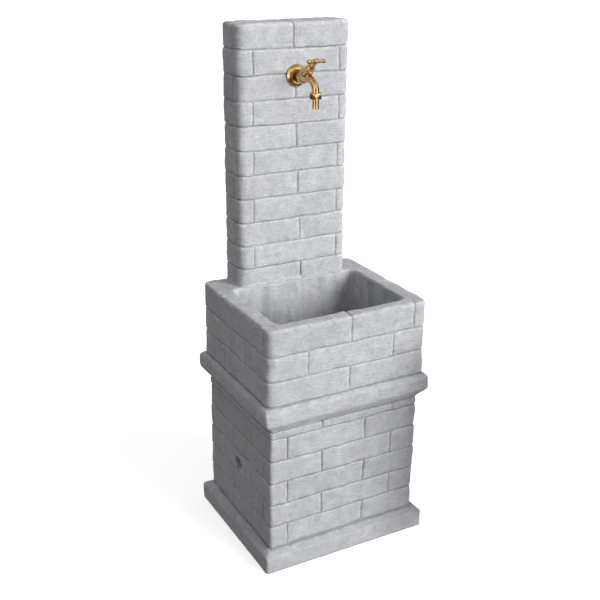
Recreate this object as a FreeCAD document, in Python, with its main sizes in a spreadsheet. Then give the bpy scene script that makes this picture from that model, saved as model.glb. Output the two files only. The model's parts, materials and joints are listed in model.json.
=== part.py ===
"""Garden wall fountain: cast-stone pedestal, basin and back column, with a brass bib tap.

Frame: millimetres, +Z up, origin on the ground under the middle of the base.
+X runs to the right along the front, -Y faces the user and +Y faces the wall.
"""
import FreeCAD, Part
import math
import os
import re

import Sketcher

Vector = FreeCAD.Vector
Rotation = FreeCAD.Rotation

# ---------------------------------------------------------------- driving sizes
SIZES = {
    # pedestal casting
    "base_width": 503.0,            # plinth, left to right
    "base_depth": 436.0,            # plinth, front to back
    "plinth_height": 47.0,          # upright edge of the plinth
    "plinth_slope": 15.5,           # rise of the sloped top of the plinth
    "plinth_overhang": 23.0,        # plinth beyond the brickwork on every side
    "plinth_corner": 8.0,
    "pedestal_top": 414.0,          # level of the top of the pedestal
    "pedestal_wall": 30.0,
    "pedestal_corner": 9.0,
    "pedestal_edge_round": 4.0,
    "hollow_corner": 22.0,
    "pedestal_course": 66.2,        # brick and joint
    "pedestal_cut_course": 21.0,    # sliver of brick under the top edge
    "pedestal_full_courses": 5.0,
    "side_hole_diameter": 45.0,
    "side_hole_across": 4.0,        # hole centre behind the middle of the side
    "side_hole_level": 224.0,
    # mortar beds between the castings
    "pedestal_bed_thickness": 4.0,
    "column_bed_thickness": 3.0,
    "bed_recess": 6.0,              # mortar kept back from the faces
    # basin casting
    "ledge_overhang": 23.0,         # ledge beyond the pedestal on every side
    "ledge_corner": 8.0,
    "ledge_under_slope": 29.0,
    "ledge_face": 35.0,
    "ledge_top_slope": 12.5,
    "basin_setback": 13.0,          # basin brickwork behind the ledge edge
    "basin_height": 209.8,          # brickwork above the ledge
    "basin_corner": 20.0,
    "basin_depth": 195.0,           # rim to floor
    "basin_floor": 45.0,
    "basin_side_wall": 43.0,
    "basin_front_wall": 40.0,
    "basin_opening_corner": 26.0,
    "basin_draft": 2.0,             # degrees, so that the mould core lifts out
    "rim_round": 7.0,
    "basin_course": 68.2,
    "basin_top_course": 72.0,
    # column casting
    "column_width": 330.0,
    "column_depth": 98.0,
    "column_height": 697.7,
    "column_front_corner": 22.0,
    "column_back_corner": 10.0,
    "column_top_round": 9.0,
    "column_course": 65.0,
    "column_top_course": 64.0,
    "column_side_joint": 37.0,      # upright joint in the side, behind the front
    "column_joint_drift": 5.4,      # each middle joint stands this much further right than the last
    # brick joints
    "joint_width": 6.0,
    "joint_depth": 3.0,
    "cut_overrun": 1.0,             # a cut passes this far beyond the face it opens
    # pipe chase up the back, and the pocket behind the tap
    "chase_width": 34.0,
    "tap_web": 24.0,                # stone left between the chase and the front
    "pocket_width": 84.0,
    "pocket_height": 96.0,
    "tap_across": 3.0,              # tap centre, right of the middle
    "tap_drop": 135.0,              # tap centre below the top of the column
    "tap_hole_diameter": 32.0,
    # dowels between basin and column
    "dowel_diameter": 12.0,
    "dowel_length": 110.0,
    "dowel_spacing": 220.0,
    "dowel_clearance": 0.3,
    "dowel_end_gap": 2.0,           # free space beyond each end of a dowel
    # supply pipe
    "pipe_diameter": 15.0,
    "pipe_wall": 1.0,
    "pipe_bend": 38.0,              # bend radius on the centre line
    "pipe_setback": 17.0,           # pipe centre behind the face of the chase
    "inlet_reach": 118.0,           # inlet end, left of the pipe's upright
    "socket_clearance": 0.1,        # pipe in its sockets, on the radius
    "inlet_thread_length": 14.0,
    "inlet_flange_radius": 12.0,
    "inlet_flange_low": 2.0,        # flange below and above the end of the pipe
    "inlet_flange_high": 4.0,
    "inlet_socket_radius": 10.2,
    "inlet_socket_length": 16.0,
    "inlet_nut_hex": 24.0,
    "inlet_nut_gap": 2.0,           # nut clear of the flange
    "inlet_nut_cap": 3.0,
    "nut_end_gap": 0.5,             # inside of a cap nut clear of what it covers
    # elbow behind the tap
    "elbow_radius": 13.5,
    "elbow_nose_radius": 14.0,
    "elbow_nose_length": 20.0,
    "elbow_socket_radius": 10.5,
    "elbow_socket_drop": 32.0,      # tap centre to the mouth of the pipe socket
    "elbow_plate_width": 66.0,
    "elbow_plate_height": 28.0,
    "elbow_plate_thickness": 4.0,
    "elbow_screw_spacing": 46.0,
    "elbow_thread_depth": 26.0,
    "thread_radius": 10.45,         # half-inch pipe thread, over the crests
    "thread_clearance": 0.05,
    "screw_diameter": 4.5,
    "screw_head_diameter": 9.0,
    "screw_head_height": 3.0,
    "screw_head_edge": 1.0,         # rounding of a screw head, across and along
    "screw_point": 2.0,
    "screw_clearance": 0.3,         # screw in the hole of what it fastens, on the radius
    "screw_head_room": 0.4,
    "plug_diameter": 7.0,
    "plug_length": 14.0,
    # pipe clips
    "clip_width": 26.0,
    "clip_height": 14.0,
    "clip_base": 4.0,
    "clip_ring": 2.5,
    "clip_pitch": 150.0,
    "clip_first": 80.0,             # lowest clip above the foot of the column
    "clip_neck_width": 16.0,
    "clip_mouth_width": 9.0,
    # tap: body and wall flange
    "rosette_diameter": 60.0,
    "rosette_depth": 11.0,
    "rosette_plate": 3.0,
    "rosette_dome_width": 9.0,      # dome between the plate's edge and the face
    "rosette_face_radius": 17.0,
    "rosette_clearance": 0.3,
    "shank_radius": 13.0,
    "shank_flare_radius": 16.5,
    "shank_collar": 6.0,            # straight stretch against the rosette
    "shank_belly": 4.0,             # widest stretch of the shank, each side of the crossing axes
    "shank_end": 12.0,              # nose of the shank beyond the crossing axes
    "tap_thread_length": 22.0,      # thread behind the wall face
    "headwork_offset": 34.0,        # wall face to where the two tap axes cross
    "headwork_tilt": 35.0,          # degrees above the horizontal
    "seat_distance": 20.0,          # axis crossing to the valve seat
    "chamber_radius": 17.0,
    "chamber_belly": 8.0,           # widest stretch of the chamber, each side of the seat
    "chamber_nose": 25.0,           # lowest point of the chamber below the seat
    "chamber_nose_radius": 8.0,
    "chamber_mouth_radius": 12.5,
    "chamber_edge": 1.5,            # chamfer round the flat that takes the headwork
    "seat_bore": 5.0,
    "inlet_bore": 6.0,
    "headwork_thread_radius": 10.0,
    "headwork_thread_depth": 8.0,
    "chamber_height": 15.0,         # seat to the flat that takes the headwork
    "spout_radius": 9.5,
    "spout_bore": 5.5,
    "outlet_way_start": 16.0,       # spout's waterway, in front of the crossing axes
    "side_way_reach": 24.0,         # way down from beside the seat, in front of the crossing axes
    "side_way_rise": 2.0,
    "spout_bend": 30.0,
    "spout_reach": 103.0,           # wall face to the outlet centre
    "spout_drop": 30.0,             # tap centre to the top of the union nut
    "spout_thread_radius": 13.1,
    # tap: headwork
    "bonnet_washer_thickness": 1.5,
    "bonnet_hex": 24.0,
    "bonnet_hex_height": 8.0,
    "bonnet_neck_radius": 8.5,
    "bonnet_neck_height": 9.0,
    "bonnet_valve_depth": 6.0,      # room for the jumper's disc inside the bonnet
    "bonnet_valve_clearance": 0.6,
    "bonnet_washer_inner": 10.2,
    "bonnet_washer_outer": 12.2,
    "packing_radius": 6.5,
    "packing_height": 4.0,
    "gland_hex": 20.0,
    "gland_height": 8.5,
    "gland_thread": 5.0,            # length of neck that the gland nut covers
    "packing_web": 2.0,             # gland nose that presses on the packing
    "stem_thread_radius": 5.0,
    "stem_radius": 4.0,
    "stem_square": 6.0,
    "stem_shoulder_drop": 4.0,      # end of the stem's thread below the packing
    "running_clearance": 0.08,      # turning and sliding fits, on the radius
    "washer_radius": 7.2,
    "washer_thickness": 3.0,
    "jumper_disc_radius": 7.6,
    "jumper_disc_height": 3.0,
    "jumper_pin_radius": 2.6,
    "jumper_pin_length": 9.0,
    "pin_edge": 0.6,                # chamfer on pins and spindles
    "washer_screw_radius": 1.5,
    "washer_screw_head_radius": 3.0,
    "washer_screw_head_height": 1.6,
    "washer_screw_clearance": 0.1,
    "seat_gap": 0.1,                # washer off the seat in the closed position
    "handle_level": 64.0,           # seat to the middle of the cross bar
    "handle_span": 51.0,
    "handle_bar_radius": 4.3,
    "handle_end_radius": 5.3,
    "handle_hub_radius": 7.0,
    "handle_hub_foot": 5.2,
    "handle_foot_gap": 4.0,         # handle clear of the gland nut
    "handle_foot_collar": 3.0,
    "handle_waist": 8.0,            # length of the hub below the bar's swelling
    "handle_bar_end": 8.0,          # length of each thick end of the bar
    "handle_bar_taper": 4.0,
    "handle_edge": 2.0,             # rounding of the bar's ends
    "square_clearance": 0.05,
    "square_end_gap": 2.0,          # web of the handle between the square and the screw's seat
    "handle_screw_radius": 1.55,
    "handle_screw_length": 7.0,
    "handle_screw_head_radius": 3.4,
    "handle_screw_sink": 2.0,
    # tap: outlet
    "union_hex": 30.0,
    "union_height": 16.0,
    "union_web": 3.0,
    "hose_washer_thickness": 2.0,
    "tail_radius": 8.5,
    "tail_edge": 1.0,
    "tail_clearance": 0.8,          # tail in the hole of the union nut
    "tail_bore": 5.5,
    "tail_collar_radius": 12.0,
    "tail_collar_height": 3.0,
    "tail_length": 24.0,            # below the union nut
    # waste outlet in the basin floor
    "waste_flange_diameter": 76.0,
    "waste_hole_diameter": 58.0,
    "waste_recess": 5.0,
    "grate_thickness": 3.0,
    "gasket_thickness": 2.0,
    "waste_seat_clearance": 1.0,    # flange in its recess, on the radius
    "cup_flange": 3.5,
    "cup_depth": 22.0,
    "cup_wall": 3.0,
    "waste_pipe_diameter": 40.0,
    "waste_pipe_wall": 2.0,
    "waste_pipe_engagement": 18.0,
    "waste_pipe_foot": 20.0,        # end of the waste pipe above the ground
    "waste_spigot_length": 80.0,    # plain end that the drain's seal slides over
    "waste_stop_radius": 26.0,      # collar that rests on the drain
    "waste_stop_height": 5.0,
    "waste_nut_radius": 29.0,
    "waste_nut_height": 24.0,
    "waste_screw_radius": 3.0,
    "waste_screw_head_radius": 6.0,
    "waste_screw_head_height": 2.5,
    "waste_screw_engagement": 13.0, # screw below the underside of the cup's flange
    "grate_ring": 12.0,             # flat ring round the dished middle of the grate
    "grate_dish_radius": 20.0,
    "grate_dish": 1.8,
    "grate_slot_start": 9.0,
    "grate_slot_end": 21.0,
    "grate_slot_width": 4.0,
    "grate_web": 2.6,               # thickness of the dished middle
    "grate_slots": 8.0,
    "cup_rib_width": 4.0,
    "cup_rib_foot": 10.0,           # ribs above the foot of the cup
    "cup_rib_height": 8.0,
    "cup_boss_radius": 7.0,
    "cup_boss_height": 12.0,
    "cup_shoulder": 6.0,            # foot of the cup's cone to its upright wall
    "cup_ledge": 8.0,               # inside of the cup above its foot
    "waste_nut_edge": 1.0,
    "waste_nut_web": 4.0,
}

# Levels and places that follow from the driving sizes.
PLACES = {
    "plinth_top": "plinth_height + plinth_slope",
    "pedestal_width": "base_width - 2 * plinth_overhang",
    "pedestal_depth": "base_depth - 2 * plinth_overhang",
    "hollow_width": "pedestal_width - 2 * pedestal_wall",
    "hollow_depth": "pedestal_depth - 2 * pedestal_wall",
    "bed_width": "pedestal_width - 2 * bed_recess",
    "bed_depth": "pedestal_depth - 2 * bed_recess",
    "bed_hole_width": "hollow_width + 2 * bed_recess",
    "bed_hole_depth": "hollow_depth + 2 * bed_recess",
    "bed_hole_corner": "hollow_corner + bed_recess",
    "basin_foot": "pedestal_top + pedestal_bed_thickness",
    "ledge_low": "basin_foot + ledge_under_slope",
    "ledge_high": "ledge_low + ledge_face",
    "brickwork_foot": "ledge_high + ledge_top_slope",
    "rim": "brickwork_foot + basin_height",
    "ledge_width": "pedestal_width + 2 * ledge_overhang",
    "ledge_depth": "pedestal_depth + 2 * ledge_overhang",
    "basin_width": "ledge_width - 2 * basin_setback",
    "basin_length": "ledge_depth - 2 * basin_setback",
    "opening_width": "basin_width - 2 * basin_side_wall",
    "opening_length": "basin_length - basin_front_wall - column_depth",
    "opening_middle": "(basin_front_wall - column_depth) / 2",
    "basin_floor_top": "rim - basin_depth",
    "basin_floor_low": "basin_floor_top - basin_floor",
    "back_face": "basin_length / 2",
    "column_front": "back_face - column_depth",
    "column_foot": "rim + column_bed_thickness",
    "column_top": "column_foot + column_height",
    "dowel_line": "back_face - column_depth / 2",
    "dowel_foot": "column_foot - dowel_length / 2",
    "chase_face": "column_front + tap_web",
    "pipe_line": "chase_face + pipe_setback",
    "tap_level": "column_top - tap_drop",
    "pocket_foot": "tap_level - pocket_height / 2",
    "pipe_top": "tap_level - elbow_radius",
    "axis_crossing": "column_front - headwork_offset",
    "seat_line": "axis_crossing - seat_distance * cos(headwork_tilt)",
    "seat_level": "tap_level + seat_distance * sin(headwork_tilt)",
    "outlet_line": "column_front - spout_reach",
    "union_top": "tap_level - spout_drop",
    "union_foot": "union_top - union_height",
    "collar_foot": "union_foot + union_web",
    "hose_washer_foot": "collar_foot + tail_collar_height",
    "spout_end": "hose_washer_foot + hose_washer_thickness",
    "tail_foot": "union_foot - tail_length",
    "bonnet_foot": "chamber_height + bonnet_washer_thickness",
    "bonnet_hex_top": "bonnet_foot + bonnet_hex_height",
    "bonnet_top": "bonnet_hex_top + bonnet_neck_height",
    "bonnet_skirt_foot": "chamber_height - headwork_thread_depth",
    "packing_foot": "bonnet_top - packing_height - packing_web",
    "stem_foot": "seat_gap + washer_thickness + jumper_disc_height",
    "stem_shoulder": "packing_foot - stem_shoulder_drop",
    "gland_foot": "bonnet_top - gland_thread",
    "gland_top": "gland_foot + gland_height",
    "handle_foot": "gland_top + handle_foot_gap",
    "handle_top": "handle_level + handle_end_radius",
    "stem_top": "handle_top - handle_screw_sink - square_end_gap",
    "headwork_low": "seat_distance * sin(headwork_tilt)",
    "ring_width_pedestal": "pedestal_width - 2 * joint_depth",
    "ring_depth_pedestal": "pedestal_depth - 2 * joint_depth",
    "ring_corner_pedestal": "pedestal_corner - joint_depth",
    "ring_width_basin": "basin_width - 2 * joint_depth",
    "ring_depth_basin": "basin_length - 2 * joint_depth",
    "ring_corner_basin": "basin_corner - joint_depth",
    "ring_width_column": "column_width - 2 * joint_depth",
    "ring_depth_column": "column_depth + 2 * column_front_corner",
    "ring_middle_column": "column_front + joint_depth + ring_depth_column / 2",
    "ring_corner_column": "column_front_corner - joint_depth",
    "pedestal_first_joint": "pedestal_top - pedestal_cut_course",
    "basin_first_joint": "rim - basin_top_course",
    "column_first_joint": "column_top - column_top_course",
    "waste_radius": "waste_flange_diameter / 2 - waste_seat_clearance",
    "gasket_hole_radius": "waste_hole_diameter / 2",
    "recess_floor": "basin_floor_top - waste_recess",
    "grate_top": "recess_floor + gasket_thickness + grate_thickness",
    "cup_top": "basin_floor_low - gasket_thickness",
    "cup_low": "cup_top - cup_flange - cup_depth",
    "waste_bore_radius": "waste_pipe_diameter / 2 - waste_pipe_wall",
    "waste_socket_radius": "waste_pipe_diameter / 2 + socket_clearance",
    "waste_stop_foot": "waste_pipe_foot + waste_spigot_length",
    "screw_room": "screw_diameter / 2 + screw_clearance",
    "pipe_bore": "pipe_diameter / 2 - pipe_wall",
    "pipe_socket": "pipe_diameter / 2 + socket_clearance",
    "basin_recess_height": "basin_floor_low - basin_foot",
    "rim_joint_reach": "basin_front_wall + joint_width",
    "spigot_radius": "waste_pipe_diameter / 2 + cup_wall",
    "spigot_low": "cup_low - waste_pipe_engagement",
}

# Upright joints of each brick course, from the middle of the face.
PEDESTAL_FRONT = [(-73, 147), (-178, 60)]
PEDESTAL_SIDE = [(-75,), (-148, 40)]
BASIN_FRONT = [(5, 198), (-125, 134), (0,)]
BASIN_SIDE = [(-175, 70), (-70, -10), (-161, 64)]
COLUMN_FRONT = [(-6,), (-124, 133)]

doc = FreeCAD.newDocument("GardenFountain")


def fill_sheet(name, cells, as_formula):
    """Makes a spreadsheet with a name and a value in each row; the value has the name as its alias."""
    sheet = doc.addObject("Spreadsheet::Sheet", name)
    for row, (alias, content) in enumerate(cells.items(), 1):
        sheet.set(f"A{row}", alias)
        sheet.set(f"B{row}", f"={bound(content)}" if as_formula else str(content))
        sheet.setAlias(f"B{row}", alias)
    doc.recompute()
    return sheet


def bound(text):
    """An expression with each size named in it pointed at its sheet."""
    def point(match):
        word = match.group()
        if word in SIZES:
            return f"Sizes.{word}"
        if word in PLACES:
            return f"Places.{word}"
        return word
    return re.sub(r"[a-z][a-z_]*", point, str(text))


# ---------------------------------------------------------------- sketch helpers
def origin_plane(body, role):
    return next(item for item in body.Origin.OriginFeatures if item.Role == role)


def sketch_on(body, name, role, offset="0"):
    """A sketch on one of the body's origin planes, moved along the plane's normal."""
    sketch = body.newObject("Sketcher::SketchObject", name)
    sketch.AttachmentSupport = [(origin_plane(body, role), "")]
    sketch.MapMode = "FlatFace"
    sketch.setExpression("AttachmentOffset.Base.z", bound(offset))
    return sketch


def pin_point(sketch, geometry, point, across, up):
    """Holds a point of a sketch at two bound distances from the sketch's origin."""
    for kind, text in (("DistanceX", across), ("DistanceY", up)):
        index = sketch.addConstraint(Sketcher.Constraint(kind, -1, 1, geometry, point, 1.0))
        sketch.setExpression(f"Constraints[{index}]", bound(text))


def polygon(sketch, points):
    """A closed outline through bound points, each a pair of expressions."""
    first = sketch.GeometryCount
    count = len(points)
    for index in range(count):
        start = 2 * math.pi * index / count
        end = 2 * math.pi * (index + 1) / count
        sketch.addGeometry(Part.LineSegment(Vector(10 * math.cos(start), 10 * math.sin(start), 0),
                                            Vector(10 * math.cos(end), 10 * math.sin(end), 0)), False)
    for index in range(count):
        following = first + (index + 1) % count
        sketch.addConstraint(Sketcher.Constraint("Coincident", first + index, 2, following, 1))
    for index, (across, up) in enumerate(points):
        pin_point(sketch, first + index, 1, across, up)


def rectangle(sketch, left, right, low, high):
    polygon(sketch, [(left, low), (right, low), (right, high), (left, high)])


def circle(sketch, radius, across="0", up="0"):
    index = sketch.addGeometry(Part.Circle(Vector(0, 0, 0), Vector(0, 0, 1), 5.0), False)
    pin_point(sketch, index, 3, across, up)
    limit = sketch.addConstraint(Sketcher.Constraint("Radius", index, 5.0))
    sketch.setExpression(f"Constraints[{limit}]", bound(radius))


def rounded_rectangle(sketch, width, depth, corner, middle=None):
    """A rectangle with round corners; width, depth and corner are names of sizes."""
    half_wide = number(width) / 2
    half_deep = number(depth) / 2
    radius = number(corner)
    centre_up = number(middle) if middle else 0.0
    middle = middle or "0"
    first = sketch.GeometryCount
    corners = [(1, -1), (1, 1), (-1, 1), (-1, -1)]
    for index, (side, rise) in enumerate(corners):
        before = corners[index - 1]
        turn = math.radians(90 * (index - 1))
        centre = Vector(side * (half_wide - radius), centre_up + rise * (half_deep - radius), 0)
        along = Vector(math.cos(turn), math.sin(turn), 0) * radius
        last_centre = Vector(before[0] * (half_wide - radius),
                             centre_up + before[1] * (half_deep - radius), 0)
        sketch.addGeometry(Part.LineSegment(last_centre + along, centre + along), False)
        arc = Part.ArcOfCircle(Part.Circle(centre, Vector(0, 0, 1), radius), turn, turn + math.pi / 2)
        sketch.addGeometry(arc, False)
    for index in range(4):
        line = first + 2 * index
        arc = line + 1
        following = first + (2 * index + 2) % 8
        sketch.addConstraint(Sketcher.Constraint("Tangent", line, 2, arc, 1))
        sketch.addConstraint(Sketcher.Constraint("Tangent", arc, 2, following, 1))
        sketch.addConstraint(Sketcher.Constraint("Horizontal" if index % 2 == 0 else "Vertical", line))
        if index:
            sketch.addConstraint(Sketcher.Constraint("Equal", first + 1, arc))
    limit = sketch.addConstraint(Sketcher.Constraint("Radius", first + 1, radius))
    sketch.setExpression(f"Constraints[{limit}]", bound(corner))
    for line, kind, text in ((first + 2, "DistanceX", f"{width} / 2"),
                             (first + 6, "DistanceX", f"-{width} / 2"),
                             (first, "DistanceY", f"{middle} - {depth} / 2"),
                             (first + 4, "DistanceY", f"{middle} + {depth} / 2")):
        index = sketch.addConstraint(Sketcher.Constraint(kind, -1, 1, line, 1, 1.0))
        sketch.setExpression(f"Constraints[{index}]", bound(text))


def number(name):
    """The value of a size or place, read from its sheet."""
    sheet = size_sheet if name in SIZES else place_sheet
    return float(sheet.get(name))


# ---------------------------------------------------------------- feature helpers
def new_body(label):
    body = doc.addObject("PartDesign::Body", label)
    body.Label = label
    return body


def pad(body, name, sketch, length):
    feature = body.newObject("PartDesign::Pad", name)
    feature.Profile = sketch
    feature.setExpression("Length", bound(length))
    doc.recompute()
    return feature


def pocket(body, name, sketch, length=None, backwards=False, both_ways=False, draft=None):
    """Cuts a sketch out of a body, and stops the build if the cut takes nothing away."""
    before = body.Shape.Volume
    feature = body.newObject("PartDesign::Pocket", name)
    feature.Profile = sketch
    feature.Reversed = backwards
    feature.Midplane = both_ways
    if length is None:
        feature.Type = "ThroughAll"
    else:
        feature.setExpression("Length", bound(length))
    if draft:
        feature.setExpression("TaperAngle", bound(draft))
    doc.recompute()
    if not body.Shape.Volume < before:
        raise RuntimeError(f"{name} cuts nothing out of {body.Label}")
    return feature


def loft(body, name, lower, upper):
    feature = body.newObject("PartDesign::AdditiveLoft", name)
    feature.Profile = lower
    feature.Sections = [upper]
    feature.Ruled = True
    doc.recompute()
    return feature


def repeat_down(body, name, feature, sketch, spacing, count):
    """Repeats a feature downwards, count times in all."""
    pattern = body.newObject("PartDesign::LinearPattern", name)
    pattern.Originals = [feature]
    pattern.Direction = (sketch, ["N_Axis"])
    pattern.Reversed = True
    pattern.Occurrences = count
    pattern.setExpression("Length", bound(f"{count - 1} * {spacing}"))
    body.Tip = pattern
    doc.recompute()
    return pattern


def round_edges(body, name, radius, wanted):
    """Rounds the edges of the body that the test picks out."""
    base = body.Tip
    names = [f"Edge{index}" for index, edge in enumerate(base.Shape.Edges, 1) if wanted(edge)]
    feature = body.newObject("PartDesign::Fillet", name)
    feature.Base = (base, names)
    feature.setExpression("Radius", bound(radius))
    doc.recompute()
    return feature


def turned(label, outline, offset="0"):
    """A body made on a lathe: an outline of radius and height, turned about the body's own Z axis."""
    body = new_body(label)
    sketch = sketch_on(body, f"{label}_outline", "XZ_Plane", offset)
    polygon(sketch, outline)
    feature = body.newObject("PartDesign::Revolution", f"{label}_turned")
    feature.Profile = sketch
    feature.ReferenceAxis = (sketch, ["V_Axis"])
    feature.Angle = 360.0
    doc.recompute()
    return body


def ring(label, inner, outer, low, high):
    """A plain ring or washer."""
    return turned(label, [(inner, low), (outer, low), (outer, high), (inner, high)])


def place(item, across="0", back="0", up="0", axis=None, angle="0"):
    """Puts an object at a bound position, turned by a bound angle about an axis."""
    if axis:
        item.Placement = FreeCAD.Placement(Vector(0, 0, 0), Rotation(Vector(*axis), 30.0))
        item.setExpression("Placement.Rotation.Angle", bound(angle))
    item.setExpression("Placement.Base.x", bound(across))
    item.setExpression("Placement.Base.y", bound(back))
    item.setExpression("Placement.Base.z", bound(up))
    return item


def on_headwork(item):
    """Puts a piece modelled along its own Z axis on the tap's tilted axis, from the valve seat."""
    return place(item, "tap_across", "seat_line", "seat_level", (1, 0, 0), "90 - headwork_tilt")


def on_tap(item):
    """Puts a piece modelled along its own Z axis on the tap's level axis, out from the wall face."""
    return place(item, "tap_across", "column_front", "tap_level", (1, 0, 0), "90")


def on_outlet(item):
    """Puts a piece on the upright axis of the spout's outlet."""
    return place(item, "tap_across", "outlet_line", "0")


def on_waste(item):
    """Puts a piece on the upright axis of the basin's drain."""
    return place(item, "0", "opening_middle", "0")


def cylinder(label, radius, height, across, back, up, axis=None, angle="0"):
    item = doc.addObject("Part::Cylinder", label)
    item.setExpression("Radius", bound(radius))
    item.setExpression("Height", bound(height))
    return place(item, across, back, up, axis, angle)


def box(label, wide, deep, high, left, front, low):
    item = doc.addObject("Part::Box", label)
    item.setExpression("Length", bound(wide))
    item.setExpression("Width", bound(deep))
    item.setExpression("Height", bound(high))
    return place(item, left, front, low)


def fused(label, pieces):
    item = doc.addObject("Part::MultiFuse", label)
    item.Shapes = pieces
    item.Label = label
    doc.recompute()
    return item


def less(label, base, tool):
    item = doc.addObject("Part::Cut", label)
    item.Base = base
    item.Tool = tool
    item.Label = label
    doc.recompute()
    return item


def grouped(label, pieces):
    """Several separate solids that share one node."""
    item = doc.addObject("Part::Compound", label)
    item.Links = pieces
    item.Label = label
    doc.recompute()
    return item


def hexagon(sketch, across_flats):
    """A hexagon round the sketch's origin, with flats facing left and right."""
    polygon(sketch, [(f"{across_flats} / 2 / cos(30) * cos({30 + 60 * side})",
                      f"{across_flats} / 2 / cos(30) * sin({30 + 60 * side})") for side in range(6)])


def cut_horizontal_joints(body, width, depth, corner, first, spacing, count, middle=None):
    """Cuts a groove round the body at each bed joint of the brickwork."""
    label = body.Label
    sketch = sketch_on(body, f"{label}_bed_joint", "XY_Plane", f"{first} + joint_width / 2")
    rounded_rectangle(sketch, width, depth, corner, middle)
    reach = "(base_width + base_depth)"
    rectangle(sketch, f"-{reach}", reach, f"-{reach}", reach)
    groove = pocket(body, f"{label}_bed_groove", sketch, "joint_width")
    repeat_down(body, f"{label}_bed_grooves", groove, sketch, spacing, count)


def cut_upright_joints(body, face, role, offset, courses, backwards=False):
    """Cuts the short upright joints of one face; courses holds (places, low level, high level)."""
    sketch = sketch_on(body, f"{body.Label}_{face}_joints", role, offset)
    for across_all, low, high in courses:
        for across in across_all:
            rectangle(sketch, f"{across} - joint_width / 2", f"{across} + joint_width / 2", low, high)
    pocket(body, f"{body.Label}_{face}_grooves", sketch, "joint_depth", backwards)


def course_levels(first, spacing, foot, count):
    """Low and high level of each full course below the first bed joint, from the top down."""
    levels = []
    for index in range(count):
        high = f"{first} - {index} * {spacing} - joint_width / 2"
        low = f"{first} - {index + 1} * {spacing} + joint_width / 2"
        levels.append((foot if index == count - 1 else low, high))
    return levels


def chase_rectangle(sketch):
    """The outline of the pipe chase, seen from above and open towards the wall."""
    half = "chase_width / 2"
    rectangle(sketch, f"tap_across - {half}", f"tap_across + {half}", "chase_face", "base_depth")


def near(first, second):
    return abs(first - second) < 1e-4


def at_level(edge, level):
    return all(near(vertex.Z, level) for vertex in edge.Vertexes)


size_sheet = fill_sheet("Sizes", SIZES, as_formula=False)
place_sheet = fill_sheet("Places", PLACES, as_formula=True)


# ---------------------------------------------------------------- castings
def make_pedestal():
    body = new_body("pedestal_block")
    foot = sketch_on(body, "plinth_outline", "XY_Plane")
    rounded_rectangle(foot, "base_width", "base_depth", "plinth_corner")
    pad(body, "plinth", foot, "plinth_height")
    low = sketch_on(body, "slope_low", "XY_Plane", "plinth_height")
    rounded_rectangle(low, "base_width", "base_depth", "plinth_corner")
    high = sketch_on(body, "slope_high", "XY_Plane", "plinth_top")
    rounded_rectangle(high, "pedestal_width", "pedestal_depth", "pedestal_corner")
    loft(body, "plinth_slope_top", low, high)
    wall = sketch_on(body, "pedestal_outline", "XY_Plane", "plinth_top")
    rounded_rectangle(wall, "pedestal_width", "pedestal_depth", "pedestal_corner")
    pad(body, "pedestal_brickwork", wall, "pedestal_top - plinth_top")
    top = number("pedestal_top")
    round_edges(body, "pedestal_top_edge", "pedestal_edge_round", lambda edge: at_level(edge, top))
    hollow = sketch_on(body, "pedestal_hollow_outline", "XY_Plane")
    rounded_rectangle(hollow, "hollow_width", "hollow_depth", "hollow_corner")
    pocket(body, "pedestal_hollow", hollow, backwards=True)
    hole = sketch_on(body, "side_hole_outline", "YZ_Plane")
    circle(hole, "side_hole_diameter / 2", "side_hole_across", "side_hole_level")
    pocket(body, "side_holes", hole, "2 * base_width", both_ways=True)
    full = round(number("pedestal_full_courses"))
    cut_horizontal_joints(body, "ring_width_pedestal", "ring_depth_pedestal", "ring_corner_pedestal",
                          "pedestal_first_joint", "pedestal_course", full)
    levels = [("pedestal_first_joint + joint_width / 2", "pedestal_top")]
    levels += course_levels("pedestal_first_joint", "pedestal_course", "plinth_top + joint_width", full)
    front = [(PEDESTAL_FRONT[row % 2], low, high) for row, (low, high) in enumerate(levels)]
    side = [(PEDESTAL_SIDE[row % 2], low, high) for row, (low, high) in enumerate(levels) if row]
    cut_upright_joints(body, "front", "XZ_Plane", "pedestal_depth / 2", front)
    cut_upright_joints(body, "back", "XZ_Plane", "-pedestal_depth / 2", front, backwards=True)
    cut_upright_joints(body, "left", "YZ_Plane", "-pedestal_width / 2", side, backwards=True)
    cut_upright_joints(body, "right", "YZ_Plane", "pedestal_width / 2", side)
    return body


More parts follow.
